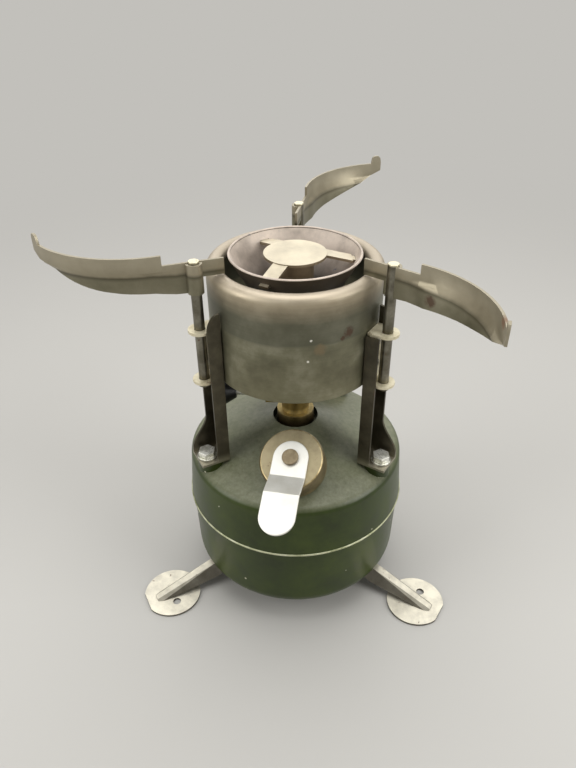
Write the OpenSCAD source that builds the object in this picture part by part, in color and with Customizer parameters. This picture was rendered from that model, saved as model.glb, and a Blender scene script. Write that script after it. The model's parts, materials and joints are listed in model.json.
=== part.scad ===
// One-burner pressure field stove. A painted fuel tank stands on three folding legs, three channel
// posts carry a shielded burner, and three curved pot arms swing on rods in the posts.
// Millimetres, +Z up. The floor is z = 0, the tank axis is the Z axis and the pump faces -Y.

/* [Tank] */
// Diameter over the seam lip, where the upper cup laps the lower one
tank_d = 114.3; // [108:0.1:122]
// Sheet thickness of both cups
tank_wall = 0.8; // [0.6:0.1:1.2]
// Height of the tank's underside above the floor
tank_base_z = 14; // [12.5:0.5:20]
// Rounding between the tank's underside and its side
base_fillet = 9; // [5:0.5:11]
// Height of the lower cup, from its underside to the seam lip
lower_cup_h = 41.4; // [34:0.1:60]
// Height of the upper cup's skirt, from the seam lip to the shoulder
skirt_h = 24; // [18:0.1:40]
// Inward draft of the upper cup's skirt
skirt_draft = 4.2; // [0:0.1:5]
// Inward draft of the lower cup, towards its underside
lower_draft = 1.6; // [0:0.1:3]
// Rounding of the shoulder between skirt and deck
shoulder_r = 5; // [3:0.5:7]
// Slope of the cone-shaped deck
deck_slope = 20.6; // [15:0.1:24]
// Height of the lap inside the seam
lap_h = 6; // [4:0.5:8]

/* [Legs] */
// Sheet thickness of a leg
leg_sheet = 1.2; // [0.9:0.1:1.6]
// Radius from the tank axis to a leg's pivot
leg_pivot_r = 40; // [37:0.5:42]
// Radius of the pivot stud
leg_stud_r = 2.5; // [2:0.1:3]
// Radius from the tank axis to the centre of a foot
foot_r = 77.8; // [74:0.1:84]
// Radius of the round foot
foot_disc_r = 15.3; // [13:0.1:17]
// Distance from the foot's centre to its flat outer end
foot_flat = 14.2; // [12:0.1:14.8]
// Radius of the nail hole
nail_hole_r = 2.1; // [1.6:0.1:2.6]
// Sideways distance of the nail hole from the leg's middle line
nail_hole_side = 7; // [6.5:0.1:9]
// Height of the leg's ridge at its outer end
ridge_end_z = 2; // [1.6:0.1:3]

/* [Posts] */
// Width of a channel post
post_w = 13.6; // [13.4:0.1:15]
// Sheet thickness of a post
post_sheet = 1.2; // [0.9:0.1:1.5]
// Depth of the channel's side flanges
post_depth = 6.2; // [5.6:0.1:7]
// Distance that a post's foot reaches past the deck's edge
post_foot_over = 2.6; // [1.6:0.1:3]
// Height above the deck's edge where the flanges start to flare
flare_h = 26; // [18:0.5:32]
// Height that the pointed fin rises above the post's top
fin_h = 9; // [6:0.5:12]
// Height of the pad under a post above the deck at the post's inner side
pad_rise = 0.6; // [0.4:0.1:1.2]
// Radius of that pad
pad_r = 6.7; // [6.4:0.1:6.8]
// Distance of the bolt that holds a post down from the deck's edge
post_bolt_inset = 2.4; // [2.4:0.1:3.4]
// Radius of that bolt's shank
bolt_r = 2; // [1.6:0.1:2.2]
// Length of that bolt below the pad's top
bolt_len = 6; // [4:0.5:7]
// Corner radius of that bolt's hex head
bolt_head_r = 4.4; // [3.8:0.1:4.8]
// Height of that bolt's head
bolt_head_h = 2.8; // [2:0.1:3.4]
// Radius of the washer under it
washer_r = 4.9; // [4.9:0.1:5.4]
// Thickness of that washer
washer_h = 0.9; // [0.6:0.1:1.2]

/* [Heat shield] */
// Outer diameter of the shield
shield_d = 80.4; // [78:0.1:84]
// Sheet thickness of the shield
shield_wall = 0.9; // [0.7:0.1:1.2]
// Height of the shield's lower edge above the deck's edge
shield_lift = 50.8; // [48:0.1:54]
// Height of the shield
shield_h = 51.5; // [50:0.1:56]
// Rounding of the shield's shoulder
shield_round = 3.8; // [3:0.1:4.4]
// Diameter of the opening in the shield's top
shield_open_d = 65.6; // [64.6:0.1:65.8]
// Rounding of the lip round that opening
shield_lip_r = 3.2; // [2.4:0.1:3.3]
// Radius of the rivets that hold the shield to the posts
rivet_r = 1.5; // [1.2:0.1:1.8]
// Radius of a rivet's head
rivet_head_r = 2.6; // [2.2:0.1:3]
// Height of a rivet's head
rivet_head_h = 0.9; // [0.6:0.1:1]
// Height of the lower rivets above the shield's edge
rivet_low = 10; // [7:0.5:12]
// Height of the upper rivets above the lower ones
rivet_rise = 11; // [7:0.5:13]

/* [Pot arms] */
// Radius from the tank axis to a rod
rod_pitch_r = 47.4; // [46.8:0.1:48.6]
// Radius of a rod
rod_r = 2.4; // [2:0.1:2.8]
// Height of a rod's top above the shield's top
rod_rise = 8.4; // [8.3:0.1:11]
// Distance of the upper lug below the shield's top
upper_lug_drop = 23.6; // [20:0.1:25]
// Height of the lower lug above the shield's lower edge
lower_lug_rise = 2; // [1:0.1:4]
// Thickness of the lugs and their back plate
lug_sheet = 1.4; // [1:0.1:1.6]
// Radius of a lug's round end
lug_r = 5.3; // [4.6:0.1:5.4]
// Sheet thickness of an arm
arm_sheet = 1.1; // [0.8:0.1:1.4]
// Angle that the right arm is swung out from the place that the other two hold
right_arm_turn = 4; // [-5:0.5:10]
// Length of an arm from its rod to its tip, along the curve
arm_len = 78; // [70:0.5:80]
// Radius of an arm's curve
arm_curve_r = 49; // [46:0.5:54]
// Turn of the arm at the rod, towards its hollow side
arm_lead = 9; // [0:1:14]
// Length of the arm's straight root
arm_straight = 16; // [10:0.5:20]
// Height of an arm at its knuckle
arm_h = 14; // [12:0.5:15]
// Distance from the rod to the step in the arm's top edge
arm_step_at = 13; // [10:0.5:16]
// Height of that step
arm_step_h = 4.4; // [2:0.1:5]
// Height of the tooth at the arm's tip
tooth_h = 4; // [3:0.1:6]
// Length of the tooth along the arm
tooth_len = 5.5; // [4:0.5:8]
// Sideways set of the arm's lower band
band_set = 2.4; // [1:0.1:3]
// Length of the inner tab, measured from the rod
tab_len = 13; // [9:0.5:14]
// Height of the inner tab
tab_h = 7.2; // [4:0.1:7.3]

/* [Burner] */
// Diameter of the bowl's rim
bowl_d = 60.2; // [56:0.1:62]
// Height of the bowl's rim above the shield's top
bowl_rise = 3.3; // [2:0.1:4.5]
// Depth of the bowl
bowl_depth = 29; // [27:0.5:31]
// Sheet thickness of the bowl
bowl_wall = 0.9; // [0.7:0.1:1.2]
// Radius of the bowl's flat floor
bowl_floor_r = 14; // [13:0.1:16]
// Radius of the burner tube
tube_r = 10; // [9:0.1:10.5]
// Wall of the burner tube
tube_wall = 1.5; // [1:0.1:1.8]
// Radius of the mixing chamber below the tube
chamber_r = 13; // [12:0.1:14]
// Height of the mixing chamber
chamber_h = 15; // [13:0.5:16]
// Radius of the generator tube inside it
generator_r = 3; // [2.4:0.1:3.4]
// Depth of the generator tube in the riser
generator_seat = 5; // [4:0.1:6]
// Height of the generator tube above the riser
generator_h = 13; // [10:0.5:15]
// Height of the jet on the generator tube
jet_h = 8; // [6:0.5:9]
// Radius of the flame spreader's disc
spreader_r = 14.2; // [12:0.1:15]
// Height of the disc's top above the bowl's rim, where minus is below it
spreader_rise = -0.8; // [-2:0.1:0]
// Width of the spreader's three strips
strip_w = 7; // [5:0.1:8]
// Width of the tab at a strip's end that pokes through the bowl
strip_tab_w = 4.2; // [3:0.1:4.8]
// Distance from a strip's shoulders to the bowl
strip_room = 1.2; // [0.9:0.1:2]
// Drop of a strip from the disc to the bowl's wall
strip_drop = 4; // [3:0.1:5]
// Direction of the first strip
strip_azimuth = 5; // [0:1:40]

/* [Valve] */
// Radius of the dished seat in the middle of the deck
seat_r = 11.6; // [11:0.1:13]
// Depth of the dished seat
seat_depth = 5; // [4:0.1:6]
// Radius of the valve body's collar
collar_r = 9.4; // [8.8:0.1:10.2]
// Height of the collar above the seat
collar_h = 9.6; // [8:0.1:11]
// Radius of the riser above the collar
riser_r = 7.1; // [6.5:0.1:8]
// Height of the riser above the seat
riser_h = 32.7; // [31:0.1:34]
// Radius of the valve body's shank inside the tank
shank_r = 6; // [5.8:0.1:6.4]
// Length of that shank
shank_len = 8.3; // [8:0.1:10]
// Radius of the fuel pickup tube
pickup_r = 2.5; // [2:0.1:2.6]
// Depth of the pickup tube in the shank
pickup_depth = 6; // [4:0.1:7]
// Sideways place of the pickup tube
pickup_side = 3; // [2.8:0.1:3.2]
// Height of the valve stem above the seat
stem_rise = 18.7; // [17:0.1:20]
// Direction of the valve stem
stem_azimuth = 180; // [175:1:185]
// Radius of the valve stem
stem_r = 2.2; // [1.8:0.1:2.4]
// Radius of the valve body's side boss, which holds the stem
stem_boss_r = 5; // [4.5:0.1:5.6]
// Reach of that side boss
stem_boss_len = 10; // [9:0.1:11]
// Length of the packing nut
packing_len = 5; // [4:0.1:6]
// Distance from the tank axis to the knob's inner face
knob_at = 30; // [28:0.5:32]
// Radius of the control knob
knob_r = 6.8; // [6:0.1:8]
// Length of the control knob
knob_len = 12; // [11:0.5:13]
// Length of the knob's tapered inner end
knob_taper = 5; // [3:0.5:6]

/* [Pump] */
// Direction of the pump
pump_azimuth = 273; // [266:0.5:274]
// Distance of the pump from the deck's edge
pump_inset = 18.3; // [16.2:0.1:18.8]
// Tilt of the pump away from upright
pump_tilt = 29; // [27:0.5:30]
// Sideways lean of the pump
pump_lean = 10; // [4:0.5:11]
// Radius of the pump cap's top
pump_cap_r = 14.7; // [14.2:0.1:15.4]
// Radius of the barrel's bore
barrel_bore_r = 8; // [7.5:0.1:8.2]
// Wall of the barrel
barrel_wall = 1; // [0.8:0.1:1.2]
// Length of the barrel below the deck
barrel_len = 52; // [50:0.5:54]
// Radius of the pump rod
pump_rod_r = 3.4; // [3:0.1:3.8]
// Width of the pump handle
handle_w = 16.9; // [14:0.1:18]
// Sheet thickness of the handle
handle_sheet = 1.2; // [1:0.1:1.6]
// Length of the handle's flat part, from the rod
handle_flat = 9; // [8.6:0.1:11]
// Length of the handle's ramp
handle_ramp = 9.6; // [8:0.1:12]
// Rise of the handle's ramp
handle_rise = 5; // [3:0.1:7]
// Reach of the handle, from the rod to its tip
handle_reach = 37.6; // [35:0.1:42]
// Turn of the handle about the rod, from straight outwards
handle_turn = -11; // [-15:1:10]

/* [Filler] */
// Direction of the filler
filler_azimuth = 64; // [60:0.5:65]
// Distance of the filler from the deck's edge
filler_inset = 10.2; // [10:0.1:13]
// Radius of the filler cap
filler_cap_r = 10.4; // [10.3:0.1:11.2]
// Radius of the filler neck
filler_neck_r = 8.5; // [8:0.1:8.8]
// Wall of the filler neck
filler_neck_wall = 1.5; // [1:0.1:2]
// Height of the filler neck above the deck
filler_neck_h = 8; // [7:0.1:10]

/* [Clearances] */
// Gap between brazed, pressed or screwed pieces that don't move
seat_gap = 0.05; // [0.03:0.01:0.1]
// Radial clearance of a turning or sliding shaft
run_gap = 0.06; // [0.03:0.01:0.1]
// Gap between moving faces
move_gap = 0.3; // [0.2:0.05:0.4]

/* [Hidden] */
$fn = 96;
POST_AZIMUTHS = [210, 330, 90];
ARC_STEP = 8;
EPS = 0.01;

seam_z = tank_base_z + lower_cup_h;
shoulder_z = seam_z + skirt_h;
shoulder_mid_r = skirt_r(shoulder_z) - shoulder_r;
deck_edge_r = shoulder_mid_r + shoulder_r * sin(deck_slope);
deck_edge_z = shoulder_z + shoulder_r * cos(deck_slope);
pump_pitch_r = deck_edge_r - pump_inset;
filler_pitch_r = deck_edge_r - filler_inset;
post_bolt_r = deck_edge_r - post_bolt_inset;
post_foot_end_r = deck_edge_r + post_foot_over;
lower_lip_r = tank_d / 2 - tank_wall - seat_gap;
lower_side_r = lower_lip_r - (lower_cup_h - base_fillet) * tan(lower_draft);
seat_floor_z = deck_z(seat_r) - seat_depth;
seat_floor_wall = 2 * tank_wall;

leg_top_z = tank_base_z - move_gap;
leg_pad_r = 8;
leg_knee_r = leg_pivot_r + 12;
leg_ridge_end_r = foot_r + foot_flat - 5;
leg_knee_drop = 7.5;

shield_base_z = deck_edge_z + shield_lift;
shield_top_z = shield_base_z + shield_h;
rod_top_z = shield_top_z + rod_rise;
upper_lug_z = shield_top_z - upper_lug_drop;
lower_lug_z = shield_base_z + lower_lug_rise;
bowl_rim_z = shield_top_z + bowl_rise;

post_in_r = shield_d / 2 + 2 * seat_gap;
post_out_r = post_in_r + post_depth;
post_top_z = upper_lug_z - lug_sheet - seat_gap;
pad_z = deck_z(post_in_r) + pad_rise;
pad_mid_r = post_foot_end_r - 0.4 - pad_r;
pad_foot_z = deck_edge_z - 2;
bracket_in_r = post_in_r + post_sheet + seat_gap;
bracket_w = post_w - 2 * post_sheet - 4 * seat_gap;
rivet_zs = [shield_base_z + rivet_low, shield_base_z + rivet_low + rivet_rise];
boss_len = bolt_len + 3;

bowl_floor_z = bowl_rim_z - bowl_depth;
bowl_r = bowl_d / 2;
riser_top_z = seat_floor_z + riser_h;
chamber_top_z = riser_top_z + chamber_h;
tube_seat_r = tube_r + 1.5;
tube_top_z = bowl_floor_z + 6;
spreader_top_z = bowl_rim_z + spreader_rise;
spreader_sheet = 1.2;
spreader_skirt_r = tube_r - tube_wall - 2 * seat_gap;
stem_z = seat_floor_z + stem_rise;
packing_r = 6.2;
knob_screw_r = 1.2;

barrel_r = barrel_bore_r + barrel_wall;
pump_boss_r = barrel_r + seat_gap + 3.5;
pump_boss_top = 10.2;
pump_gasket_h = 1.5;
pump_cap_top = 14.8;
pump_cap_base = 3.9;
piston_thread_r = 2.5;
piston_thread_len = 7.5;
piston_at = piston_thread_len + 2.5 - barrel_len;
leather_h = 4.8;
leather_base = 1.5;

cap_thread_gap = 0.3;
filler_cap_base = 1;
filler_gasket_h = 1.1;
filler_cap_roof = 2.5;
relief_r = 2.5;

// Radius of the upper cup's skirt at a height
function skirt_r(z) = tank_d / 2 - (z - seam_z) * tan(skirt_draft);
// Height of the deck at a radius
function deck_z(r) = deck_edge_z + (deck_edge_r - r) * tan(deck_slope);
// Points of an arc about a centre
function arc(mid, r, from, to) =
    let (n = max(2, ceil(abs(to - from) / ARC_STEP)))
    [for (i = [0:n]) mid + r * [cos(from + (to - from) * i / n), sin(from + (to - from) * i / n)]];
// Smooth step from 0 to 1
function ease(u) = u * u * (3 - 2 * u);
// Radius of the bowl's outside at a height, on its straight flank
function bowl_flank_r(z) =
    bowl_floor_r + (bowl_r - 0.15 - bowl_floor_r) * (z - bowl_floor_z) / bowl_depth;

// Places

module round_stove() for (a = POST_AZIMUTHS) rotate([0, 0, a]) children();

module on_deck(r) translate([r, 0, deck_z(r)]) rotate([0, deck_slope, 0]) children();

module on_pad() translate([post_bolt_r, 0, pad_z]) children();

module at_pump()
    rotate([0, 0, pump_azimuth])
        translate([pump_pitch_r, 0, deck_z(pump_pitch_r)])
            rotate([pump_lean, pump_tilt, 0]) children();

module at_filler() rotate([0, 0, filler_azimuth]) on_deck(filler_pitch_r) children();

module at_stem() rotate([0, 0, stem_azimuth]) translate([0, 0, stem_z]) rotate([0, 90, 0]) children();

module ring(r_out, r_in, z0, z1)
    translate([0, 0, z0])
        difference() {
            cylinder(r = r_out, h = z1 - z0);
            translate([0, 0, -1]) cylinder(r = r_in, h = z1 - z0 + 2);
        }

// Cylinder that points away from the tank axis
module outward_rod(r, x, z, h) translate([x, 0, z]) rotate([0, 90, 0]) cylinder(r = r, h = h);

module hex_nut(r, r_in, z0, z1)
    translate([0, 0, z0])
        difference() {
            cylinder(r = r, h = z1 - z0, $fn = 6);
            translate([0, 0, -1]) cylinder(r = r_in, h = z1 - z0 + 2);
        }

// Tank

module tank_lower_shell() {
    mid = [lower_side_r - base_fillet, tank_base_z + base_fillet];
    lap_top = seam_z + lap_h;
    lap_r = skirt_r(lap_top) - tank_wall - seat_gap;
    outer = concat(
        [[0, tank_base_z]],
        arc(mid, base_fillet, -90, 0),
        [[lower_lip_r, seam_z], [lap_r, lap_top]]);
    inner = concat(
        [[lap_r - tank_wall, lap_top], [lower_lip_r - tank_wall, seam_z]],
        arc(mid, base_fillet - tank_wall, 0, -90),
        [[0, tank_base_z + tank_wall]]);
    color("darkolivegreen") rotate_extrude() polygon(concat(outer, inner));
}

module upper_cup() {
    mid = [shoulder_mid_r, shoulder_z];
    cone_under = tank_wall / cos(deck_slope);
    seat_out_r = seat_r + tank_wall;
    seat_under_z = seat_floor_z - seat_floor_wall;
    outer = concat(
        [[tank_d / 2, seam_z]],
        arc(mid, shoulder_r, 0, 90 - deck_slope),
        [[seat_r, deck_z(seat_r)], [seat_r, seat_floor_z], [shank_r + seat_gap, seat_floor_z]]);
    inner = concat(
        [[shank_r + seat_gap, seat_under_z], [seat_out_r, seat_under_z]],
        [[seat_out_r, deck_z(seat_out_r) - cone_under]],
        arc(mid, shoulder_r - tank_wall, 90 - deck_slope, 0),
        [[tank_d / 2 - tank_wall, seam_z]]);
    rotate_extrude() polygon(concat(outer, inner));
}

module tank_upper_shell()
    color("darkolivegreen")
        difference() {
            union() {
                upper_cup();
                round_stove() {
                    translate([pad_mid_r, 0, pad_foot_z]) cylinder(r = pad_r, h = pad_z - pad_foot_z);
                    on_pad() translate([0, 0, -boss_len]) cylinder(r = 2 * bolt_r, h = boss_len - 1);
                }
            }
            at_pump() cylinder(r = pump_boss_r + seat_gap, h = 2 * pump_boss_r, center = true);
            at_filler() cylinder(r = filler_neck_r + seat_gap, h = 2 * filler_neck_r, center = true);
            round_stove() on_pad()
                translate([0, 0, -bolt_len - 1]) cylinder(r = bolt_r + seat_gap, h = bolt_len + 4);
        }

// Legs

module leg_studs()
    color("gainsboro")
        round_stove() translate([leg_pivot_r, 0, 0]) {
            head_top = leg_top_z - leg_sheet - move_gap;
            translate([0, 0, head_top - EPS]) cylinder(r = leg_stud_r, h = tank_base_z - head_top + EPS);
            translate([0, 0, head_top - 1.6]) cylinder(r = leg_stud_r + 2, h = 1.6);
        }

// Upright slice of a leg's ridged channel: its top and foot widths, and its heights
module ridge_slice(x, z_top, z_foot, w_top, w_foot) {
    half_top = w_top / 2;
    half_foot = w_foot / 2;
    translate([x, 0, 0])
        rotate([90, 0, 90])
            linear_extrude(EPS)
                polygon([[-half_foot, z_foot], [half_foot, z_foot], [half_top, z_top], [-half_top, z_top]]);
}

// The channel's solid, drawn in by the sheet thickness to make its hollow
module leg_ridge(inset) {
    end_r = leg_ridge_end_r - 3 * inset;
    foot_drop = inset > 0 ? 1 : 0;
    top = leg_top_z - inset;
    knee_foot = leg_top_z - leg_knee_drop - foot_drop;
    thin = 2 * inset;
    hull() {
        ridge_slice(leg_pivot_r + 4, top, leg_top_z - 2.4 - foot_drop, 11 - thin, 12 - thin);
        ridge_slice(leg_knee_r, top, knee_foot, 4.4 - thin, 11 - thin);
    }
    hull() {
        ridge_slice(leg_knee_r, top, knee_foot, 4.4 - thin, 11 - thin);
        ridge_slice(end_r, ridge_end_z - inset, leg_sheet / 4 - foot_drop, 3 - thin, 7 - thin);
    }
}

module leg() {
    difference() {
        union() {
            leg_ridge(0);
            translate([leg_pivot_r, 0, leg_top_z - leg_sheet]) cylinder(r = leg_pad_r, h = leg_sheet);
        }
        leg_ridge(leg_sheet);
        translate([leg_pivot_r, 0, 0]) cylinder(r = leg_stud_r + run_gap, h = tank_base_z);
        translate([leg_pivot_r, 0, 0]) cylinder(r = leg_stud_r + 2 + move_gap, h = leg_top_z - leg_sheet);
    }
    difference() {
        translate([foot_r, 0, 0]) cylinder(r = foot_disc_r, h = leg_sheet);
        translate([foot_r + foot_flat, -foot_disc_r, -1])
            cube([foot_disc_r, 2 * foot_disc_r, leg_sheet + 2]);
        translate([foot_r, nail_hole_side, -1]) cylinder(r = nail_hole_r, h = leg_sheet + 2);
    }
}

module leg_left() color("gainsboro") rotate([0, 0, POST_AZIMUTHS[0]]) leg();
module leg_right() color("gainsboro") rotate([0, 0, POST_AZIMUTHS[1]]) leg();
module leg_rear() color("gainsboro") rotate([0, 0, POST_AZIMUTHS[2]]) leg();

// Posts

// Side view of a flange, with or without a pointed fin at its top and a flare at its foot
module flange_outline(fin, flared) {
    foot_z = pad_z + seat_gap;
    flare_z = deck_edge_z + flare_h;
    steps = 8;
    flare = [for (i = [0:steps])
        [post_out_r + (post_foot_end_r - post_out_r) * ease(i / steps),
         flare_z + (foot_z + 3.5 - flare_z) * i / steps]];
    fin_base_z = post_top_z + 1;
    fin_curve = [for (a = [90:-15:0]) [post_in_r + post_depth * cos(a), fin_base_z + fin_h * sin(a)]];
    square_top = [[post_in_r, post_top_z], [post_out_r, post_top_z]];
    heel = [post_in_r, foot_z];
    toe = [post_out_r, foot_z];
    polygon(concat(
        [heel],
        fin ? fin_curve : square_top,
        flared ? concat(flare, [[post_foot_end_r, foot_z]]) : [toe]));
}

module flange(side_y, fin, flared)
    translate([0, side_y + post_sheet, 0])
        rotate([90, 0, 0]) linear_extrude(post_sheet) flange_outline(fin, flared);

// The flange that faces the pump runs straight down; the other one has the flare
module post(fin_flared)
    difference() {
        union() {
            translate([post_in_r, -post_w / 2, pad_z + seat_gap]) {
                cube([post_sheet, post_w, post_top_z - pad_z - seat_gap]);
                cube([post_foot_end_r - post_in_r, post_w, post_sheet]);
            }
            flange(post_w / 2 - post_sheet, true, fin_flared);
            flange(-post_w / 2, false, !fin_flared);
        }
        for (z = rivet_zs) outward_rod(rivet_r + seat_gap, post_in_r - 1, z, 4);
        on_pad() translate([0, 0, -2]) cylinder(r = bolt_r + seat_gap, h = 6);
    }

module post_left() color("dimgray") rotate([0, 0, POST_AZIMUTHS[0]]) post(false);
module post_right() color("dimgray") rotate([0, 0, POST_AZIMUTHS[1]]) post(true);
module post_rear() color("dimgray") rotate([0, 0, POST_AZIMUTHS[2]]) post(false);

module post_washers() {
    z0 = post_sheet + 2 * seat_gap;
    color("silver") round_stove() on_pad() ring(washer_r, bolt_r + seat_gap, z0, z0 + washer_h);
}

module post_bolts()
    color("whitesmoke")
        round_stove() on_pad() {
            head_z = post_sheet + washer_h + 3 * seat_gap;
            translate([0, 0, -bolt_len]) cylinder(r = bolt_r, h = bolt_len + head_z + EPS);
            translate([0, 0, head_z]) cylinder(r = bolt_head_r, h = bolt_head_h, $fn = 6);
        }

// A lug: a tongue from the back plate with a round, drilled end
module lug(from_r, top_z)
    translate([0, 0, top_z - lug_sheet])
        difference() {
            union() {
                translate([from_r, -lug_r, 0]) cube([rod_pitch_r - from_r, 2 * lug_r, lug_sheet]);
                translate([rod_pitch_r, 0, 0]) cylinder(r = lug_r, h = lug_sheet);
            }
            translate([rod_pitch_r, 0, -1]) cylinder(r = rod_r + run_gap, h = lug_sheet + 2);
        }

module rod_bracket() {
    difference() {
        translate([bracket_in_r, -bracket_w / 2, lower_lug_z - lug_sheet])
            cube([lug_sheet, bracket_w, upper_lug_z - lower_lug_z + lug_sheet]);
        for (z = rivet_zs) outward_rod(rivet_r + seat_gap, bracket_in_r - 1, z, 4);
    }
    lug(post_in_r, upper_lug_z);
    lug(bracket_in_r, lower_lug_z);
}

module rod_bracket_left() color("wheat") rotate([0, 0, POST_AZIMUTHS[0]]) rod_bracket();
module rod_bracket_right() color("wheat") rotate([0, 0, POST_AZIMUTHS[1]]) rod_bracket();
module rod_bracket_rear() color("wheat") rotate([0, 0, POST_AZIMUTHS[2]]) rod_bracket();

// Heat shield

module shield_rivets()
    color("silver")
        round_stove() for (z = rivet_zs) {
            head_in = shield_d / 2 - shield_wall - 2 * seat_gap;
            head_out = bracket_in_r + lug_sheet + seat_gap;
            outward_rod(rivet_r, head_in - EPS, z, head_out - head_in + 2 * EPS);
            outward_rod(rivet_head_r, head_in - rivet_head_h, z, rivet_head_h);
            outward_rod(rivet_head_r, head_out, z, rivet_head_h);
        }

module heat_shield() {
    shield_r = shield_d / 2;
    round_mid = [shield_r - shield_round, shield_top_z - shield_round];
    lip_mid = [shield_open_d / 2 + shield_lip_r, shield_top_z - shield_lip_r];
    outer = concat(
        [[shield_r, shield_base_z]],
        arc(round_mid, shield_round, 0, 90),
        arc(lip_mid, shield_lip_r, 90, 180));
    inner = concat(
        arc(lip_mid, shield_lip_r - shield_wall, 180, 90),
        arc(round_mid, shield_round - shield_wall, 90, 0),
        [[shield_r - shield_wall, shield_base_z]]);
    color("darkgray")
        difference() {
            rotate_extrude() polygon(concat(outer, inner));
            round_stove() for (z = rivet_zs) outward_rod(rivet_r + seat_gap, shield_r - 4, z, 6);
        }
}

// Pot arms

arm_top_z = rod_top_z - 0.8;
arm_foot_z = arm_top_z - arm_h;
arm_side = rod_r - arm_sheet / 2 - 0.8;
belly_end = 0.45 * arm_len;
belly_rise = 2.2;
tip_from = 0.36 * arm_len;
tip_rise = 12.4;
crease_z = arm_top_z - 2;
crease_h = 3;

// Place on the arm's middle line at a distance s from the rod: straight at the root, curved beyond
function arm_heading(s) = arm_lead + max(s - arm_straight, 0) / arm_curve_r * 180 / PI;
function arm_line(s) =
    let (h = arm_heading(s), root = [cos(arm_lead), -sin(arm_lead)])
    min(s, arm_straight) * root + arm_curve_r * [sin(h) - sin(arm_lead), cos(h) - cos(arm_lead)];
// The arm's outline, by distance from the rod
function arm_top(s) =
    s < arm_step_at ? arm_top_z
    : s < arm_len - tooth_len ? arm_top_z + arm_step_h
    : let (u = abs(2 * (s - arm_len) / tooth_len + 1))
      arm_top_z + arm_step_h + tooth_h * pow(1 - 0.98 * pow(u, 4), 0.5);
function arm_foot(s) =
    s < -rod_r ? arm_top_z - tab_h
    : arm_foot_z + belly_rise * max(0, min(1, s / belly_end))
        + tip_rise * pow(max(0, (s - tip_from) / (arm_len - tip_from)), 2);
// Sideways set of the sheet: the lower band stands in towards the curve's hollow side
function band_side(s, z) =
    let (along = ease(max(0, min(1, (s - 8) / 10))), down = max(0, min(1, (crease_z - z) / crease_h)))
    arm_side + band_set * along * ease(down);

arm_stations = concat(
    [-tab_len, -rod_r - EPS, -rod_r, 4, 8, arm_step_at - EPS, arm_step_at],
    [for (i = [1:16]) arm_step_at + (arm_len - tooth_len - arm_step_at) * i / 16 - EPS],
    [for (u = [0, 0.08, 0.25, 0.5, 0.75, 0.92, 1]) arm_len - (1 - u) * tooth_len]);

// Heights of one station's points, foot first
function arm_levels(s) =
    let (foot = arm_foot(s), top = arm_top(s),
         low = max(foot + 0.2, min(top - 0.4, crease_z - crease_h)),
         high = max(low + 0.1, min(top - 0.2, crease_z)))
    [foot, low, (low + high) / 2, high, top];
function arm_point(s, z, half) =
    let (h = arm_heading(s), p = arm_line(s), off = band_side(s, z) + half)
    [p[0] - off * sin(h), p[1] - off * cos(h), z];
function arm_ring(s) =
    let (zs = arm_levels(s), n = len(zs))
    concat(
        [for (i = [0:n - 1]) arm_point(s, zs[i], arm_sheet / 2)],
        [for (i = [n - 1:-1:0]) arm_point(s, zs[i], -arm_sheet / 2)]);

module arm_blade() {
    rings = [for (s = arm_stations) arm_ring(s)];
    n = len(rings[0]);
    last = len(rings) - 1;
    sides = [for (k = [0:last - 1], i = [0:n - 1], t = [0, 1])
        let (a = k * n + i, b = k * n + (i + 1) % n)
        t == 0 ? [a, b, b + n] : [a, b + n, a + n]];
    caps = [for (i = [0:n / 2 - 2], t = [0, 1])
        t == 0 ? [i, n - 1 - i, i + 1] : [i + 1, n - 1 - i, n - 2 - i]];
    far_caps = [for (f = caps) [f[0] + last * n, f[2] + last * n, f[1] + last * n]];
    polyhedron([for (r = rings) each r], concat(sides, caps, far_caps));
}

// Half-round sleeve that wraps the rod on the blade's hollow-free side
module arm_knuckle()
    rotate([0, 0, -arm_lead])
        intersection() {
            translate([0, 0, arm_foot_z + 0.3]) cylinder(r = rod_r + seat_gap + arm_sheet, h = arm_h - 0.6);
            translate([-10, -arm_side, arm_foot_z - 1]) cube([20, 20, arm_h + 2]);
        }

module pot_arm(turn)
    translate([rod_pitch_r, 0, 0])
        rotate([0, 0, turn])
            difference() {
                union() {
                    arm_blade();
                    arm_knuckle();
                }
                translate([0, 0, arm_foot_z - 1]) cylinder(r = rod_r + seat_gap, h = arm_h + arm_step_h + 2);
            }

module arm_rod()
    translate([rod_pitch_r, 0, 0]) {
        head_top = lower_lug_z - lug_sheet - move_gap;
        translate([0, 0, head_top - EPS]) cylinder(r = rod_r, h = rod_top_z - head_top + EPS);
        translate([0, 0, head_top - 2]) cylinder(r = rod_r + 0.8, h = 2);
    }

module pot_arm_left() color("tan") rotate([0, 0, POST_AZIMUTHS[0]]) pot_arm(0);
module pot_arm_right() color("tan") rotate([0, 0, POST_AZIMUTHS[1]]) pot_arm(right_arm_turn);
module pot_arm_rear() color("tan") rotate([0, 0, POST_AZIMUTHS[2]]) pot_arm(0);
module arm_rod_left() color("gray") rotate([0, 0, POST_AZIMUTHS[0]]) arm_rod();
module arm_rod_right() color("gray") rotate([0, 0, POST_AZIMUTHS[1]]) arm_rod();
module arm_rod_rear() color("gray") rotate([0, 0, POST_AZIMUTHS[2]]) arm_rod();

// Burner

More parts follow.
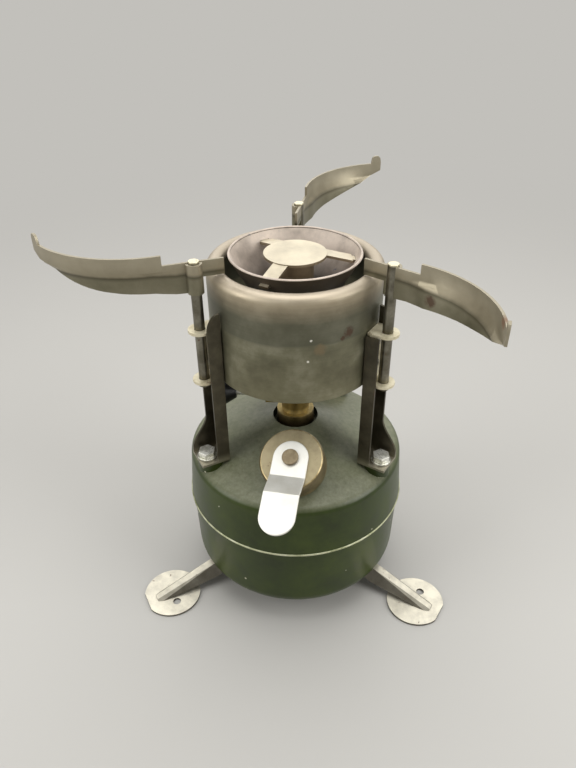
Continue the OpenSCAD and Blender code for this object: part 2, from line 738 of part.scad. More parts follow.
module spreader_strips(grow)
    for (a = [0, 120, 240])
        rotate([0, 0, strip_azimuth + a]) {
            root_r = spreader_r - 2;
            run = bowl_flank_r(spreader_top_z - strip_drop) + 1.6 - root_r;
            slope = atan(strip_drop / run);
            wide = strip_w / 2 + grow;
            thin = strip_tab_w / 2 + grow;
            shoulder = (run - 1.6 - bowl_wall - strip_room) / cos(slope) + grow;
            end = run / cos(slope) + 4 * grow;
            translate([root_r, 0, spreader_top_z - spreader_sheet])
                rotate([0, slope, 0])
                    translate([0, 0, -grow])
                        linear_extrude(spreader_sheet + 2 * grow - EPS) polygon([
                            [0, -wide], [shoulder, -wide], [shoulder, -thin], [end, -thin],
                            [end, thin], [shoulder, thin], [shoulder, wide], [0, wide]]);
        }

module burner_bowl() {
    bead_r = 0.15 + bowl_wall / 2;
    rim_r = bowl_r - bead_r;
    flank_r = bowl_r - 0.15;
    rim_z = bowl_rim_z - bead_r;
    hole_r = tube_r + seat_gap;
    top_z = bowl_floor_z + bowl_wall;
    outer = [[hole_r, bowl_floor_z], [bowl_floor_r, bowl_floor_z], [flank_r, rim_z]];
    inner = [[flank_r - bowl_wall, rim_z], [bowl_floor_r - bowl_wall, top_z], [hole_r, top_z]];
    color("saddlebrown")
        difference() {
            union() {
                rotate_extrude() polygon(concat(outer, inner));
                rotate_extrude() translate([rim_r, rim_z]) circle(bead_r, $fn = 24);
            }
            spreader_strips(0.25);
        }
}

module flame_spreader() {
    port_zs = [tube_top_z + 4, tube_top_z + 9];
    disc_z = spreader_top_z - spreader_sheet;
    color("linen")
        difference() {
            union() {
                translate([0, 0, disc_z]) cylinder(r = spreader_r, h = spreader_sheet);
                ring(spreader_skirt_r, spreader_skirt_r - 0.8, bowl_floor_z, disc_z + EPS);
                spreader_strips(0);
            }
            for (z = port_zs, a = [0:30:150])
                translate([0, 0, z])
                    rotate([90, 0, a]) cylinder(r = 1, h = 3 * tube_r, center = true, $fn = 24);
        }
}

module burner_tube() {
    bore_r = tube_r - tube_wall;
    neck_z = chamber_top_z + 5;
    hole_r = generator_r + seat_gap;
    chamber_in_r = chamber_r - tube_wall;
    rest_z = bowl_floor_z - seat_gap;
    color("peru")
        difference() {
            rotate_extrude() polygon([
                [hole_r, riser_top_z], [chamber_r, riser_top_z], [chamber_r, chamber_top_z],
                [tube_r, neck_z], [tube_r, bowl_floor_z - 3], [tube_seat_r, bowl_floor_z - 3],
                [tube_seat_r, rest_z], [tube_r, rest_z], [tube_r, tube_top_z],
                [bore_r, tube_top_z], [bore_r, neck_z], [chamber_in_r, chamber_top_z - 1],
                [chamber_in_r, riser_top_z + 3], [hole_r, riser_top_z + 3]]);
            for (a = [0:60:120])
                translate([0, 0, riser_top_z + chamber_h / 2])
                    rotate([90, 0, a]) cylinder(r = 2.5, h = 3 * chamber_r, center = true);
        }
}

module generator_tube() {
    z0 = riser_top_z - generator_seat;
    color("goldenrod") ring(generator_r, generator_r / 2, z0, riser_top_z + generator_h);
}

module jet() {
    jet_z = riser_top_z + generator_h;
    hex_h = 0.6 * jet_h;
    color("gold") {
        hex_nut(1.2 * generator_r, 0.6, jet_z, jet_z + hex_h);
        ring(0.7 * generator_r, 0.6, jet_z + hex_h - EPS, jet_z + jet_h);
    }
}

// Valve

module valve_body()
    color("darkgoldenrod")
        difference() {
            union() {
                translate([0, 0, seat_floor_z - shank_len]) cylinder(r = shank_r, h = shank_len + 1);
                translate([0, 0, seat_floor_z]) cylinder(r = collar_r, h = collar_h);
                translate([0, 0, seat_floor_z]) cylinder(r = riser_r, h = riser_top_z - seat_floor_z);
                at_stem() cylinder(r = stem_boss_r, h = stem_boss_len);
            }
            at_stem() translate([0, 0, 1]) cylinder(r = stem_r + run_gap, h = stem_boss_len);
            translate([0, 0, riser_top_z - generator_seat])
                cylinder(r = generator_r + seat_gap, h = generator_seat + 1);
            translate([0, pickup_side, seat_floor_z - shank_len - 1])
                cylinder(r = pickup_r + seat_gap, h = pickup_depth + 2);
        }

module valve_lock_nut() {
    nut_top = seat_floor_z - seat_floor_wall - seat_gap;
    color("darkgoldenrod") hex_nut(9.8, shank_r + seat_gap, nut_top - 4.5, nut_top);
}

module packing_nut()
    color("goldenrod")
        at_stem()
            hex_nut(packing_r, stem_r + run_gap, stem_boss_len + seat_gap, stem_boss_len + packing_len);

module valve_stem()
    color("silver")
        at_stem()
            difference() {
                translate([0, 0, 1 + move_gap]) cylinder(r = stem_r, h = knob_at + knob_len - 3 - move_gap);
                translate([0, 0, knob_at - 1]) cylinder(r = knob_screw_r + seat_gap, h = knob_len + 2);
            }

module control_knob()
    color([0.08, 0.08, 0.08])
        at_stem()
            difference() {
                rotate_extrude() polygon([
                    [0, knob_at], [stem_r + 1.4, knob_at], [knob_r, knob_at + knob_taper],
                    [knob_r, knob_at + knob_len], [0, knob_at + knob_len]]);
                for (a = [0:45:315])
                    rotate([0, 0, a])
                        translate([knob_r + 1.4, 0, knob_at + knob_taper])
                            cylinder(r = 2.4, h = knob_len, $fn = 32);
                translate([0, 0, knob_at - 1]) cylinder(r = stem_r + seat_gap, h = knob_len - 1 + seat_gap);
                translate([0, 0, knob_at]) cylinder(r = knob_screw_r + seat_gap, h = knob_len + 1);
            }

module knob_screw()
    color("silver")
        at_stem()
            difference() {
                union() {
                    translate([0, 0, knob_at]) cylinder(r = knob_screw_r, h = knob_len + seat_gap + EPS);
                    translate([0, 0, knob_at + knob_len + seat_gap]) cylinder(r = 2.6, h = 1.5);
                }
                translate([-3, -0.35, knob_at + knob_len + 0.9]) cube([6, 0.7, 2]);
            }

module fuel_pickup() {
    top_z = seat_floor_z - shank_len + pickup_depth;
    color("goldenrod")
        translate([0, pickup_side, 0]) ring(pickup_r, pickup_r - 0.8, tank_base_z + tank_wall + 4, top_z);
}

module fuel_filter() {
    z0 = tank_base_z + tank_wall + 4;
    color("khaki") translate([0, pickup_side, 0]) ring(pickup_r + 2, pickup_r + seat_gap, z0, z0 + 10);
}

// Pump

module pump_boss()
    color("darkolivegreen") at_pump() ring(pump_boss_r, barrel_r + seat_gap, -7, pump_boss_top);

module pump_barrel()
    color("goldenrod") at_pump() ring(barrel_r, barrel_bore_r, -barrel_len, pump_boss_top);

module check_valve()
    color("gold")
        at_pump()
            difference() {
                union() {
                    translate([0, 0, -barrel_len - 5]) cylinder(r = barrel_r, h = 5 - seat_gap);
                    translate([0, 0, -barrel_len - 1]) cylinder(r = barrel_bore_r - seat_gap, h = 2.5);
                }
                translate([0, 0, -barrel_len - 6]) cylinder(r = 1, h = 10);
            }

module pump_gasket() {
    z0 = pump_boss_top + seat_gap;
    z1 = pump_boss_top + pump_gasket_h;
    color([0.15, 0.15, 0.15]) at_pump() ring(pump_boss_r - 0.2, barrel_bore_r + 0.4, z0, z1);
}

module pump_cap() {
    roof_z = pump_boss_top + pump_gasket_h + seat_gap;
    skirt_in = pump_boss_r + 2 * seat_gap;
    bevel = 0.8;
    skirt_r = pump_cap_r + bevel;
    hole_r = pump_rod_r + run_gap;
    color("rosybrown")
        at_pump()
            rotate_extrude() polygon([
                [skirt_in, pump_cap_base], [skirt_r, pump_cap_base], [skirt_r, pump_cap_top - 2 * bevel],
                [pump_cap_r, pump_cap_top], [hole_r, pump_cap_top], [hole_r, roof_z], [skirt_in, roof_z]]);
}

module pump_rod()
    color("rosybrown")
        at_pump() {
            handle_top = pump_cap_top + move_gap + handle_sheet;
            translate([0, 0, piston_at]) cylinder(r = pump_rod_r, h = handle_top + 1 - piston_at);
            translate([0, 0, handle_top + seat_gap]) cylinder(r = pump_rod_r + 0.5, h = 1.6);
            translate([0, 0, piston_at - piston_thread_len])
                cylinder(r = piston_thread_r, h = piston_thread_len + EPS);
        }

module pump_handle() {
    z0 = pump_cap_top + move_gap;
    bend2 = handle_flat + handle_ramp;
    tip_mid = handle_reach - handle_w / 2;
    under = [[-handle_w, 0], [handle_flat, 0], [bend2, handle_rise], [handle_reach + 1, handle_rise]];
    over = [for (i = [3:-1:0]) under[i] + [0, handle_sheet]];
    color("white")
        at_pump()
            rotate([0, 0, handle_turn])
                translate([0, 0, z0])
                    difference() {
                        intersection() {
                            translate([0, handle_w, 0])
                                rotate([90, 0, 0])
                                    linear_extrude(2 * handle_w) polygon(concat(under, over));
                            linear_extrude(handle_rise + 4 * handle_sheet) {
                                circle(handle_w / 2);
                                translate([0, -handle_w / 2]) square([tip_mid, handle_w]);
                                translate([tip_mid, 0]) circle(handle_w / 2);
                            }
                        }
                        translate([0, 0, -1]) cylinder(r = pump_rod_r + seat_gap, h = handle_sheet + 2);
                    }
}

module pump_leather() {
    top = piston_at - 0.2;
    out_r = barrel_bore_r - run_gap;
    hole_r = piston_thread_r + run_gap;
    color("sienna")
        at_pump()
            rotate_extrude() polygon([
                [hole_r, top], [out_r, top], [out_r, top - leather_h], [out_r - 1.4, top - leather_h],
                [out_r - 1.4, top - leather_base], [hole_r, top - leather_base]]);
}

module piston_nut() {
    top = piston_at - 0.4 - leather_base;
    color("gold") at_pump() hex_nut(4.8, piston_thread_r + seat_gap, top - 3, top);
}

// Filler

module filler_neck()
    color("darkolivegreen")
        at_filler() ring(filler_neck_r, filler_neck_r - filler_neck_wall, -4, filler_neck_h);

module filler_gasket() {
    z0 = filler_neck_h + 0.2;
    color([0.15, 0.15, 0.15])
        at_filler() ring(filler_neck_r - 0.1, filler_neck_r - 3.5, z0, z0 + filler_gasket_h);
}

module filler_cap() {
    roof_z = filler_neck_h + filler_gasket_h + 0.4;
    skirt_in = filler_neck_r + cap_thread_gap;
    top_z = roof_z + filler_cap_roof;
    bevel = 0.8;
    hole_r = relief_r + seat_gap;
    color("rosybrown")
        at_filler()
            rotate_extrude() polygon([
                [skirt_in, filler_cap_base], [filler_cap_r, filler_cap_base], [filler_cap_r, top_z - bevel],
                [filler_cap_r - bevel, top_z], [hole_r, top_z], [hole_r, roof_z], [skirt_in, roof_z]]);
}

module relief_plug() {
    roof_z = filler_neck_h + filler_gasket_h + 0.4;
    head_z = roof_z + filler_cap_roof + seat_gap;
    color("gold")
        at_filler() {
            translate([0, 0, roof_z]) cylinder(r = relief_r, h = head_z - roof_z + EPS);
            translate([0, 0, head_z]) cylinder(r = relief_r + 1.3, h = 1.4, $fn = 6);
        }
}

tank_lower_shell();
tank_upper_shell();
leg_studs();
leg_left();
leg_right();
leg_rear();
post_left();
post_right();
post_rear();
post_bolts();
post_washers();
rod_bracket_left();
rod_bracket_right();
rod_bracket_rear();
shield_rivets();
heat_shield();
pot_arm_left();
pot_arm_right();
pot_arm_rear();
arm_rod_left();
arm_rod_right();
arm_rod_rear();
burner_bowl();
flame_spreader();
burner_tube();
generator_tube();
jet();
valve_body();
valve_lock_nut();
packing_nut();
valve_stem();
control_knob();
knob_screw();
fuel_pickup();
fuel_filter();
pump_boss();
pump_barrel();
pump_gasket();
pump_cap();
pump_rod();
pump_handle();
pump_leather();
piston_nut();
check_valve();
filler_neck();
filler_cap();
filler_gasket();
relief_plug();
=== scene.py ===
"""Looks of a one-burner field stove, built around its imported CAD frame.

Every CAD solid is copied with rounded edges, as those of real sheet and turned metal are, and the
copy stands for the solid. The heat shield, its rivets, the tank's seam and the filler cap's ribs
come from Geometry Nodes. Sizes are in millimetres here and become metres on the way into Blender.
"""

import json
import logging
import math
from abc import ABC, abstractmethod
from dataclasses import dataclass, field
from enum import Enum
from typing import Any, Optional

import bmesh
import bpy
from mathutils import Matrix, Vector

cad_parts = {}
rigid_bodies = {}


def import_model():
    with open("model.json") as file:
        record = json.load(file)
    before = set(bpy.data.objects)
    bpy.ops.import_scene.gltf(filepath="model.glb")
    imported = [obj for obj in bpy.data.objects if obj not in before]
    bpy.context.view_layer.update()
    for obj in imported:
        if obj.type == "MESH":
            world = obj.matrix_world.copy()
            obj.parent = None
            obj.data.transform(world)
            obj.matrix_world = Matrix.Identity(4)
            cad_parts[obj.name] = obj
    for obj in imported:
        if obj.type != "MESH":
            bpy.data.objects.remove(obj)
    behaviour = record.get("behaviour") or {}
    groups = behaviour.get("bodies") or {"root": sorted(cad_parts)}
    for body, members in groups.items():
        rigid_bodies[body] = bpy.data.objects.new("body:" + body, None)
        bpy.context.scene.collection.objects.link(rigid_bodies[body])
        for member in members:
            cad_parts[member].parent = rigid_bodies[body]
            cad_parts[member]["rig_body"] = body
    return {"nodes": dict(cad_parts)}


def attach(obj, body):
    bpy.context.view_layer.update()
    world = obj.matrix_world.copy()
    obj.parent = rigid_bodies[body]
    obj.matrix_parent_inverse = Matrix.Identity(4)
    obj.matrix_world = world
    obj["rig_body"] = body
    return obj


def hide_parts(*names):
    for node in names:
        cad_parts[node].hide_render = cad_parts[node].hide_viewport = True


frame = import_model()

LOG = logging.getLogger("stove")
MM = 0.001
MM_PER_M = 1000
Tree, Node, Socket = bpy.types.NodeTree, bpy.types.Node, bpy.types.NodeSocket
Object, Mesh = bpy.types.Object, bpy.types.Mesh

# Noise lies mostly between these values.
NOISE_RANGE = (0.3, 0.7)
# Clouds between the first two values show the last two shares of the light painted on upward faces.
LIT_UPWARD_CLOUDS = (0.3, 0.6, 0.6, 1.0)
# Noise above a level is a stain: the level at no share, its drop for a share of 1, and the edge's width.
STAIN_LEVEL, STAIN_DROP, STAIN_EDGE = 0.72, 1.6, 0.07
# Roughness that a stain adds, and the part of the metal's shine that it keeps.
STAIN_ROUGH, STAIN_SHINE = 0.25, 0.3
# Where the ragged edge of a spot begins and ends, and how much of the metal the spot hides.
SPOT_EDGE, SPOT_SHARE = (0.16, 0.34), 0.85
# How often working lines change along their run, and the sizes of metal's grit and paint's orange peel.
LINES_PER_M, GRIT_MM, PEEL_MM = 45.0, 0.625, 10 / 7

# Corners within this, in metres, are one, and so are faces within this, in degrees.
MERGE_M, FLAT_DEG = 2e-6, 0.4
# Steps of a rounded edge, and facets round a turned piece.
ROUND_STEPS, ROUND_FACETS = 2, 192
# A face is part of a turned surface if less than this share of its normal runs round the axis.
TURNED_LIMIT = 0.2
# Within this of an axis, in metres, nothing is outward. Faces count with at least this area.
ON_AXIS_M, LEAST_AREA = 1e-5, 1e-12
# Angles in degrees up to which faces shade as one: cut edges, bends in sheet, domes.
CUT, BENT_SHEET, DOMED = 35.0, 25.0, 60.0


class Grain(Enum):
    """Which way the fine lines of a worked metal run."""

    NONE = "none"
    ROUND = "round"


def linear(code: str) -> tuple[float, float, float, float]:
    """Turns an sRGB hex colour into linear RGBA.

    Args:
        code: colour as "#rrggbb".

    Returns:
        Linear red, green, blue and an alpha of 1.
    """
    parts = [int(code[i : i + 2], 16) / 255 for i in (1, 3, 5)]
    lit = [c / 12.92 if c <= 0.04045 else ((c + 0.055) / 1.055) ** 2.4 for c in parts]
    return (lit[0], lit[1], lit[2], 1.0)


def add(tree: Tree, kind: str, links: Optional[dict] = None, **settings: Any) -> Node:
    """Adds one node with its settings and links.

    Args:
        tree: tree that takes the node.
        kind: Blender's name of the node type.
        links: input name or number to a socket to link, or a plain value.
        settings: node properties; stops is a colour ramp's list of (place, colour).

    Returns:
        The new node.
    """
    node = tree.nodes.new(kind)
    stops = settings.pop("stops", None)
    for key, value in settings.items():
        setattr(node, key, value)
    if stops:
        marks = node.color_ramp.elements
        while len(marks) < len(stops):
            marks.new(1.0)
        for mark, (place, colour) in zip(marks, stops):
            mark.position = place
            mark.color = colour
    for name, value in (links or {}).items():
        socket = node.inputs[name]
        if isinstance(value, Socket):
            tree.links.new(value, socket)
        else:
            socket.default_value = value
    return node


def grey(value: float) -> tuple[float, float, float, float]:
    """Returns a grey of that linear value."""
    return (value, value, value, 1.0)


def noise(tree: Tree, place: Socket, size_mm: float, detail: float, roughness: float = 0.5) -> Socket:
    """Adds noise: size of its clouds in millimetres, number and weight of finer layers."""
    links = {"Vector": place, "Scale": MM_PER_M / size_mm, "Detail": detail, "Roughness": roughness}
    return add(tree, "ShaderNodeTexNoise", links).outputs["Fac"]


def remap(
    tree: Tree, value: Socket, start: float = 0.0, end: float = 1.0, low: float = 0.0, high: float = 1.0
) -> Socket:
    """Adds a clamped map of a value, from between start and end to between low and high."""
    links = {"Value": value, "From Min": start, "From Max": end, "To Min": low, "To Max": high}
    return add(tree, "ShaderNodeMapRange", links).outputs[0]


def reckon(tree: Tree, operation: str, *values: Any, use_clamp: bool = False) -> Socket:
    """Adds one sum of sockets or plain values, by Blender's name of the operation."""
    links = dict(enumerate(values))
    return add(tree, "ShaderNodeMath", links, operation=operation, use_clamp=use_clamp).outputs[0]


def mix(tree: Tree, share: Any, below: Any, above: Any, blend: str = "MIX") -> Socket:
    """Adds a mix of two colours: share of the upper one, and Blender's name of the way."""
    links = {"Factor": share, 6: below, 7: above}
    return add(tree, "ShaderNodeMix", links, data_type="RGBA", blend_type=blend).outputs[2]


def ramp(tree: Tree, value: Socket, *stops: tuple[float, tuple]) -> Socket:
    """Adds a colour ramp along a value, with the (place, linear colour) of each stop."""
    return add(tree, "ShaderNodeValToRGB", {"Fac": value}, stops=stops).outputs["Color"]


def upness(tree: Tree) -> Socket:
    """Adds the height of the surface's normal: 1 on a face that looks up, 0 on an upright one."""
    normal = add(tree, "ShaderNodeNewGeometry").outputs["Normal"]
    return add(tree, "ShaderNodeSeparateXYZ", {0: normal}).outputs["Z"]


@dataclass(frozen=True)
class Spot:
    """A stain at one place: its centre and radius in millimetres, and its colour."""

    centre: tuple[float, float, float]
    radius: float
    colour: str = "#4d3422"


@dataclass(frozen=True)
class Band:
    """A tint at one height: height in millimetres, colour and share."""

    height: float
    colour: str
    share: float


@dataclass(frozen=True)
class Finish(ABC):
    """A surface: what it is made of and how it was worked."""

    name: str

    @abstractmethod
    def shade(self, tree: Tree, shader: Node) -> None:
        """Adds the surface's pattern to a material's tree.

        Args:
            tree: the material's node tree.
            shader: its Principled shader.
        """

    def material(self) -> bpy.types.Material:
        """Returns the material, made on first use."""
        known = bpy.data.materials.get(self.name)
        if known:
            return known
        made = bpy.data.materials.new(self.name)
        made.use_nodes = True
        made.node_tree.nodes.clear()
        shader = add(made.node_tree, "ShaderNodeBsdfPrincipled")
        add(made.node_tree, "ShaderNodeOutputMaterial", {"Surface": shader.outputs[0]})
        self.shade(made.node_tree, shader)
        return made


def join(
    tree: Tree,
    shader: Node,
    colour: Socket,
    rough: Socket,
    relief: Socket,
    depth_mm: float,
    strength: float = 0.5,
) -> None:
    """Links a pattern to a shader.

    Args:
        tree: the material's node tree.
        shader: its Principled shader.
        colour: base colour.
        rough: roughness.
        relief: height of the fine relief.
        depth_mm: depth of the relief in millimetres.
        strength: strength of the relief.
    """
    bump = add(tree, "ShaderNodeBump", {"Height": relief, "Strength": strength, "Distance": depth_mm * MM})
    tree.links.new(colour, shader.inputs["Base Color"])
    tree.links.new(rough, shader.inputs["Roughness"])
    tree.links.new(bump.outputs[0], shader.inputs["Normal"])


@dataclass(frozen=True)
class WornMetal(Finish):
    """Bare or plated metal that has been heated, handled and stained.

    Cloudy tarnish, fine working lines, stains that are rougher than the metal, and tints by height,
    which on some pieces are painted light, shade and reflections; upward faces may take a lighter
    colour, painted as light from above.
    The first three colours are the metal's own, and those of its dark and pale clouds.
    """

    body: str = "#8c866e"
    dark: str = "#6a6452"
    pale: str = "#aaa48c"
    stain: str = "#5e3a20"
    metallic: float = 0.9
    rough: tuple[float, float] = (0.3, 0.5)
    cloud_mm: float = 14.0
    grain: Grain = Grain.NONE
    grain_mm: float = 0.5
    grain_share: float = 0.25
    stain_mm: float = 5.0
    stain_share: float = 0.06
    pit_mm: float = 0.02
    spots: tuple[Spot, ...] = ()
    bands: tuple[Band, ...] = ()
    lit_upward: str = ""
    lit_upward_from: tuple[float, float] = (0.0, 0.25)
    uneven_mm: float = 6.0

    def shade(self, tree: Tree, shader: Node) -> None:
        """Adds tarnish, painted light on upward faces, lines, tints and stains to the tree (see Finish)."""
        place = add(tree, "ShaderNodeTexCoord").outputs["Object"]
        cloud = noise(tree, place, self.cloud_mm, 6.0, 0.62)
        shades = (0.32, linear(self.dark)), (0.5, linear(self.body)), (0.7, linear(self.pale))
        colour = ramp(tree, cloud, *shades)
        # Painted light: upward faces take a lighter colour, as if lit from above.
        if self.lit_upward:
            up = remap(tree, upness(tree), *self.lit_upward_from)
            kept = remap(tree, cloud, *LIT_UPWARD_CLOUDS)
            share = reckon(tree, "MULTIPLY", up, kept)
            colour = mix(tree, share, colour, linear(self.lit_upward))
        # Tints by height; on the shield, bowl, tube, arms and rods these are painted light, shade and
        # reflections.
        colour = self.tint(tree, place, cloud, colour)
        lines = cloud
        if self.grain is Grain.ROUND:
            scale = (LINES_PER_M, LINES_PER_M, MM_PER_M / self.grain_mm)
            drawn = add(tree, "ShaderNodeMapping", {"Vector": place, "Scale": scale}).outputs[0]
            lines = noise(tree, drawn, MM_PER_M, 3.0)
            shadow = ramp(tree, lines, (0.3, grey(1 - self.grain_share)), (0.7, grey(1.0)))
            colour = mix(tree, 1.0, colour, shadow, "MULTIPLY")
        mask = self.stain_mask(tree, place)
        colour = mix(tree, mask, colour, linear(self.stain))
        for spot in self.spots:
            here = self.spot_mask(tree, place, spot)
            colour = mix(tree, here, colour, linear(spot.colour))
            mask = reckon(tree, "MAXIMUM", mask, here)
        rough = remap(tree, cloud, *NOISE_RANGE, *self.rough)
        rough = reckon(tree, "MULTIPLY_ADD", mask, STAIN_ROUGH, rough, use_clamp=True)
        shine = remap(tree, mask, low=self.metallic, high=STAIN_SHINE * self.metallic)
        tree.links.new(shine, shader.inputs["Metallic"])
        relief = reckon(tree, "ADD", noise(tree, place, GRIT_MM, 4.0), lines)
        join(tree, shader, colour, rough, relief, self.pit_mm)

    def tint(self, tree: Tree, place: Socket, cloud: Socket, colour: Socket) -> Socket:
        """Lays the tints by height over a colour.

        Args:
            tree: the material's node tree.
            place: object coordinates.
            cloud: cloudy noise that makes the tints' edges uneven.
            colour: the colour below.

        Returns:
            The tinted colour.
        """
        if not self.bands:
            return colour
        first, last = self.bands[0].height, self.bands[-1].height
        height = add(tree, "ShaderNodeSeparateXYZ", {0: place}).outputs["Z"]
        uneven = reckon(tree, "MULTIPLY_ADD", cloud, self.uneven_mm * MM, height)
        shift = self.uneven_mm / 2
        along = remap(tree, uneven, (first + shift) * MM, (last + shift) * MM)
        places = [(b.height - first) / (last - first) for b in self.bands]
        hue = ramp(tree, along, *[(p, linear(b.colour)) for p, b in zip(places, self.bands)])
        share = ramp(tree, along, *[(p, grey(b.share)) for p, b in zip(places, self.bands)])
        return mix(tree, share, colour, hue)

    def stain_mask(self, tree: Tree, place: Socket) -> Socket:
        """Makes the mask of the stains.

        Args:
            tree: the material's node tree.
            place: object coordinates.

        Returns:
            A socket that is 1 in a stain and 0 elsewhere.
        """
        edge = STAIN_LEVEL - STAIN_DROP * self.stain_share
        return remap(tree, noise(tree, place, self.stain_mm, 8.0, 0.72), edge, edge + STAIN_EDGE)

    def spot_mask(self, tree: Tree, place: Socket, spot: Spot) -> Socket:
        """Makes the mask of one spot, with a ragged edge.

        Args:
            tree: the material's node tree.
            place: object coordinates.
            spot: where and how large it is.

        Returns:
            A socket that is SPOT_SHARE in the spot and 0 elsewhere.
        """
        centre = tuple(c * MM for c in spot.centre)
        far = add(tree, "ShaderNodeVectorMath", {0: place, 1: centre}, operation="DISTANCE").outputs["Value"]
        near = remap(tree, far, 0.0, spot.radius * MM, 1.0, 0.0)
        ragged = noise(tree, place, spot.radius / 2, 6.0, 0.7)
        return remap(tree, reckon(tree, "MULTIPLY", near, ragged), *SPOT_EDGE, high=SPOT_SHARE)


@dataclass(frozen=True)
class Enamel(Finish):
    """Stoved satin paint on steel: slightly uneven, dusty and with a painted sheen on top, with small chips.
    """

    body: str = "#2d3a0a"
    dark: str = "#222d07"
    pale: str = "#3b4812"
    dust_and_sheen: str = "#92937b"
    chip: str = "#c9c6ad"
    rough: tuple[float, float] = (0.3, 0.44)
    cloud_mm: float = 22.0
    dust_and_sheen_mm: float = 2.5
    dust_and_sheen_from: tuple[float, float] = (0.45, 0.93)
    dust_and_sheen_share: float = 0.8
    chip_mm: float = 4.0
    chip_share: float = 0.05
    chip_reach: float = 0.16
    chip_edge: float = 0.03
    peel_mm: float = 0.012
    specular: float = 0.28
    coat: float = 0.12
    coat_rough: float = 0.25

    def shade(self, tree: Tree, shader: Node) -> None:
        """Adds clouding, dust with a painted sheen on top, and chips to the tree (see Finish)."""
        place = add(tree, "ShaderNodeTexCoord").outputs["Object"]
        cloud = noise(tree, place, self.cloud_mm, 7.0, 0.65)
        shades = (0.3, linear(self.dark)), (0.5, linear(self.body)), (0.72, linear(self.pale))
        colour = ramp(tree, cloud, *shades)
        # Painted sheen with dust: upward faces turn pale, as if they mirrored the light above.
        up = remap(tree, upness(tree), *self.dust_and_sheen_from, high=self.dust_and_sheen_share)
        dust_and_sheen_patches = remap(tree, noise(tree, place, self.dust_and_sheen_mm, 8.0, 0.75), *NOISE_RANGE, low=0.5)
        colour = mix(tree, reckon(tree, "MULTIPLY", up, dust_and_sheen_patches), colour, linear(self.dust_and_sheen))
        links = {"Vector": place, "Scale": MM_PER_M / self.chip_mm, "Randomness": 1.0}
        cells = add(tree, "ShaderNodeTexVoronoi", links).outputs
        size = add(tree, "ShaderNodeSeparateColor", {0: cells["Color"]}).outputs[0]
        reach = remap(tree, size, 1 - self.chip_share, high=self.chip_reach)
        mask = remap(tree, reckon(tree, "SUBTRACT", reach, cells["Distance"]), end=self.chip_edge)
        colour = mix(tree, mask, colour, linear(self.chip))
        rough = remap(tree, cloud, *NOISE_RANGE, *self.rough)
        join(tree, shader, colour, rough, noise(tree, place, PEEL_MM, 3.0), self.peel_mm, strength=0.4)
        shader.inputs["Specular IOR Level"].default_value = self.specular
        shader.inputs["Coat Weight"].default_value = self.coat
        shader.inputs["Coat Roughness"].default_value = self.coat_rough


@dataclass(frozen=True)
class Moulded(Finish):
    """Moulded or cut soft stuff without metal: phenolic plastic, rubber or oiled leather."""

    body: str = "#141414"
    dark: str = "#0b0b0b"
    rough: float = 0.4
    rough_swing: float = 0.1
    speck_mm: float = 1.2
    bump_mm: float = 0.03

    def shade(self, tree: Tree, shader: Node) -> None:
        """Adds a fine mottle to the tree (see Finish)."""
        place = add(tree, "ShaderNodeTexCoord").outputs["Object"]
        speck = noise(tree, place, self.speck_mm, 5.0)
        colour = ramp(tree, speck, (0.35, linear(self.dark)), (0.65, linear(self.body)))
        rough = remap(tree, speck, low=self.rough - self.rough_swing, high=self.rough + self.rough_swing)
        join(tree, shader, colour, rough, speck, self.bump_mm)


# Stoved olive enamel: deep green, a soft gloss that mirrors the light above, a pale sheen painted on upward
# faces and mixed with dust, pale chips.
OLIVE = Enamel("olive_enamel")
# Bare steel where paint has worn off an edge: pale and dull; the pale line is partly a painted highlight
# along the seam and the rims.
WORN_AND_LIT_EDGE = WornMetal(
    "worn_edge_steel", "#b7b996", "#848a62", "#d6d7be", metallic=0.35, rough=(0.35, 0.55), cloud_mm=6
)
# Drawn steel, browned by heat, with lines from the drawing die and a few rust spots; its tints by height are
# painted reflections, with a cream highlight on the shoulder that is partly heat tint.
SHIELD = WornMetal(
    "heat_tinted_steel", "#72705a", "#4f4d3c", "#a09d88", stain="#7a4826", metallic=0.65,
    rough=(0.38, 0.55), cloud_mm=15, grain=Grain.ROUND, grain_mm=0.6, grain_share=0.08, stain_share=0.0,
    pit_mm=0.008,
    spots=(
        Spot((23.9, -32.3, 167.3), 4.6),
        Spot((21.4, -34.0, 165.2), 2.2),
        Spot((11.9, -38.4, 161.9), 5.0, "#786a4e"),
        Spot((8.1, -39.4, 166.7), 1.0, "#f4f1e6"),
        Spot((6.9, -39.6, 156.6), 1.0, "#f4f1e6"),
    ),
    # Painted reflections by height: lighter brown low down, a dark band round the middle, and a cream
    # highlight on the shoulder that is partly heat tint.
    bands=(
        Band(134, "#7d785c", 0.5),
        Band(150, "#78745c", 0.4),
        Band(163, "#76745f", 0.4),
        Band(164.5, "#5c5c4d", 0.75),
        Band(174, "#605f50", 0.75),
        Band(179, "#8f8470", 0.7),
        Band(183, "#bcae95", 0.75),
        Band(187, "#cdbfac", 0.75),
    ),
    uneven_mm=3.0,
)
# Sooted steel: brown-black outside, soot with painted shade; inside, a tan with a pink cast painted on
# upward faces as light from above, and painted shade darkening towards the bottom.
BOWL = WornMetal(
    "sooted_steel", "#4a4032", "#342b20", "#5c5040", metallic=0.3, rough=(0.45, 0.65), cloud_mm=9,
    # Painted light: tan with a pink cast on upward faces; the brown-black body is soot and painted shade.
    stain="#6b6f7c", stain_share=0.05, lit_upward="#d6c8ba",
    # Painted shade: darker towards the bottom, under the spreader.
    bands=(
        Band(160, "#12100d", 0.95),
        Band(170, "#2a2622", 0.85),
        Band(178, "#857d77", 0.45),
        Band(184, "#b3a69b", 0.15),
        Band(190, "#a69a90", 0.0),
    ),
)
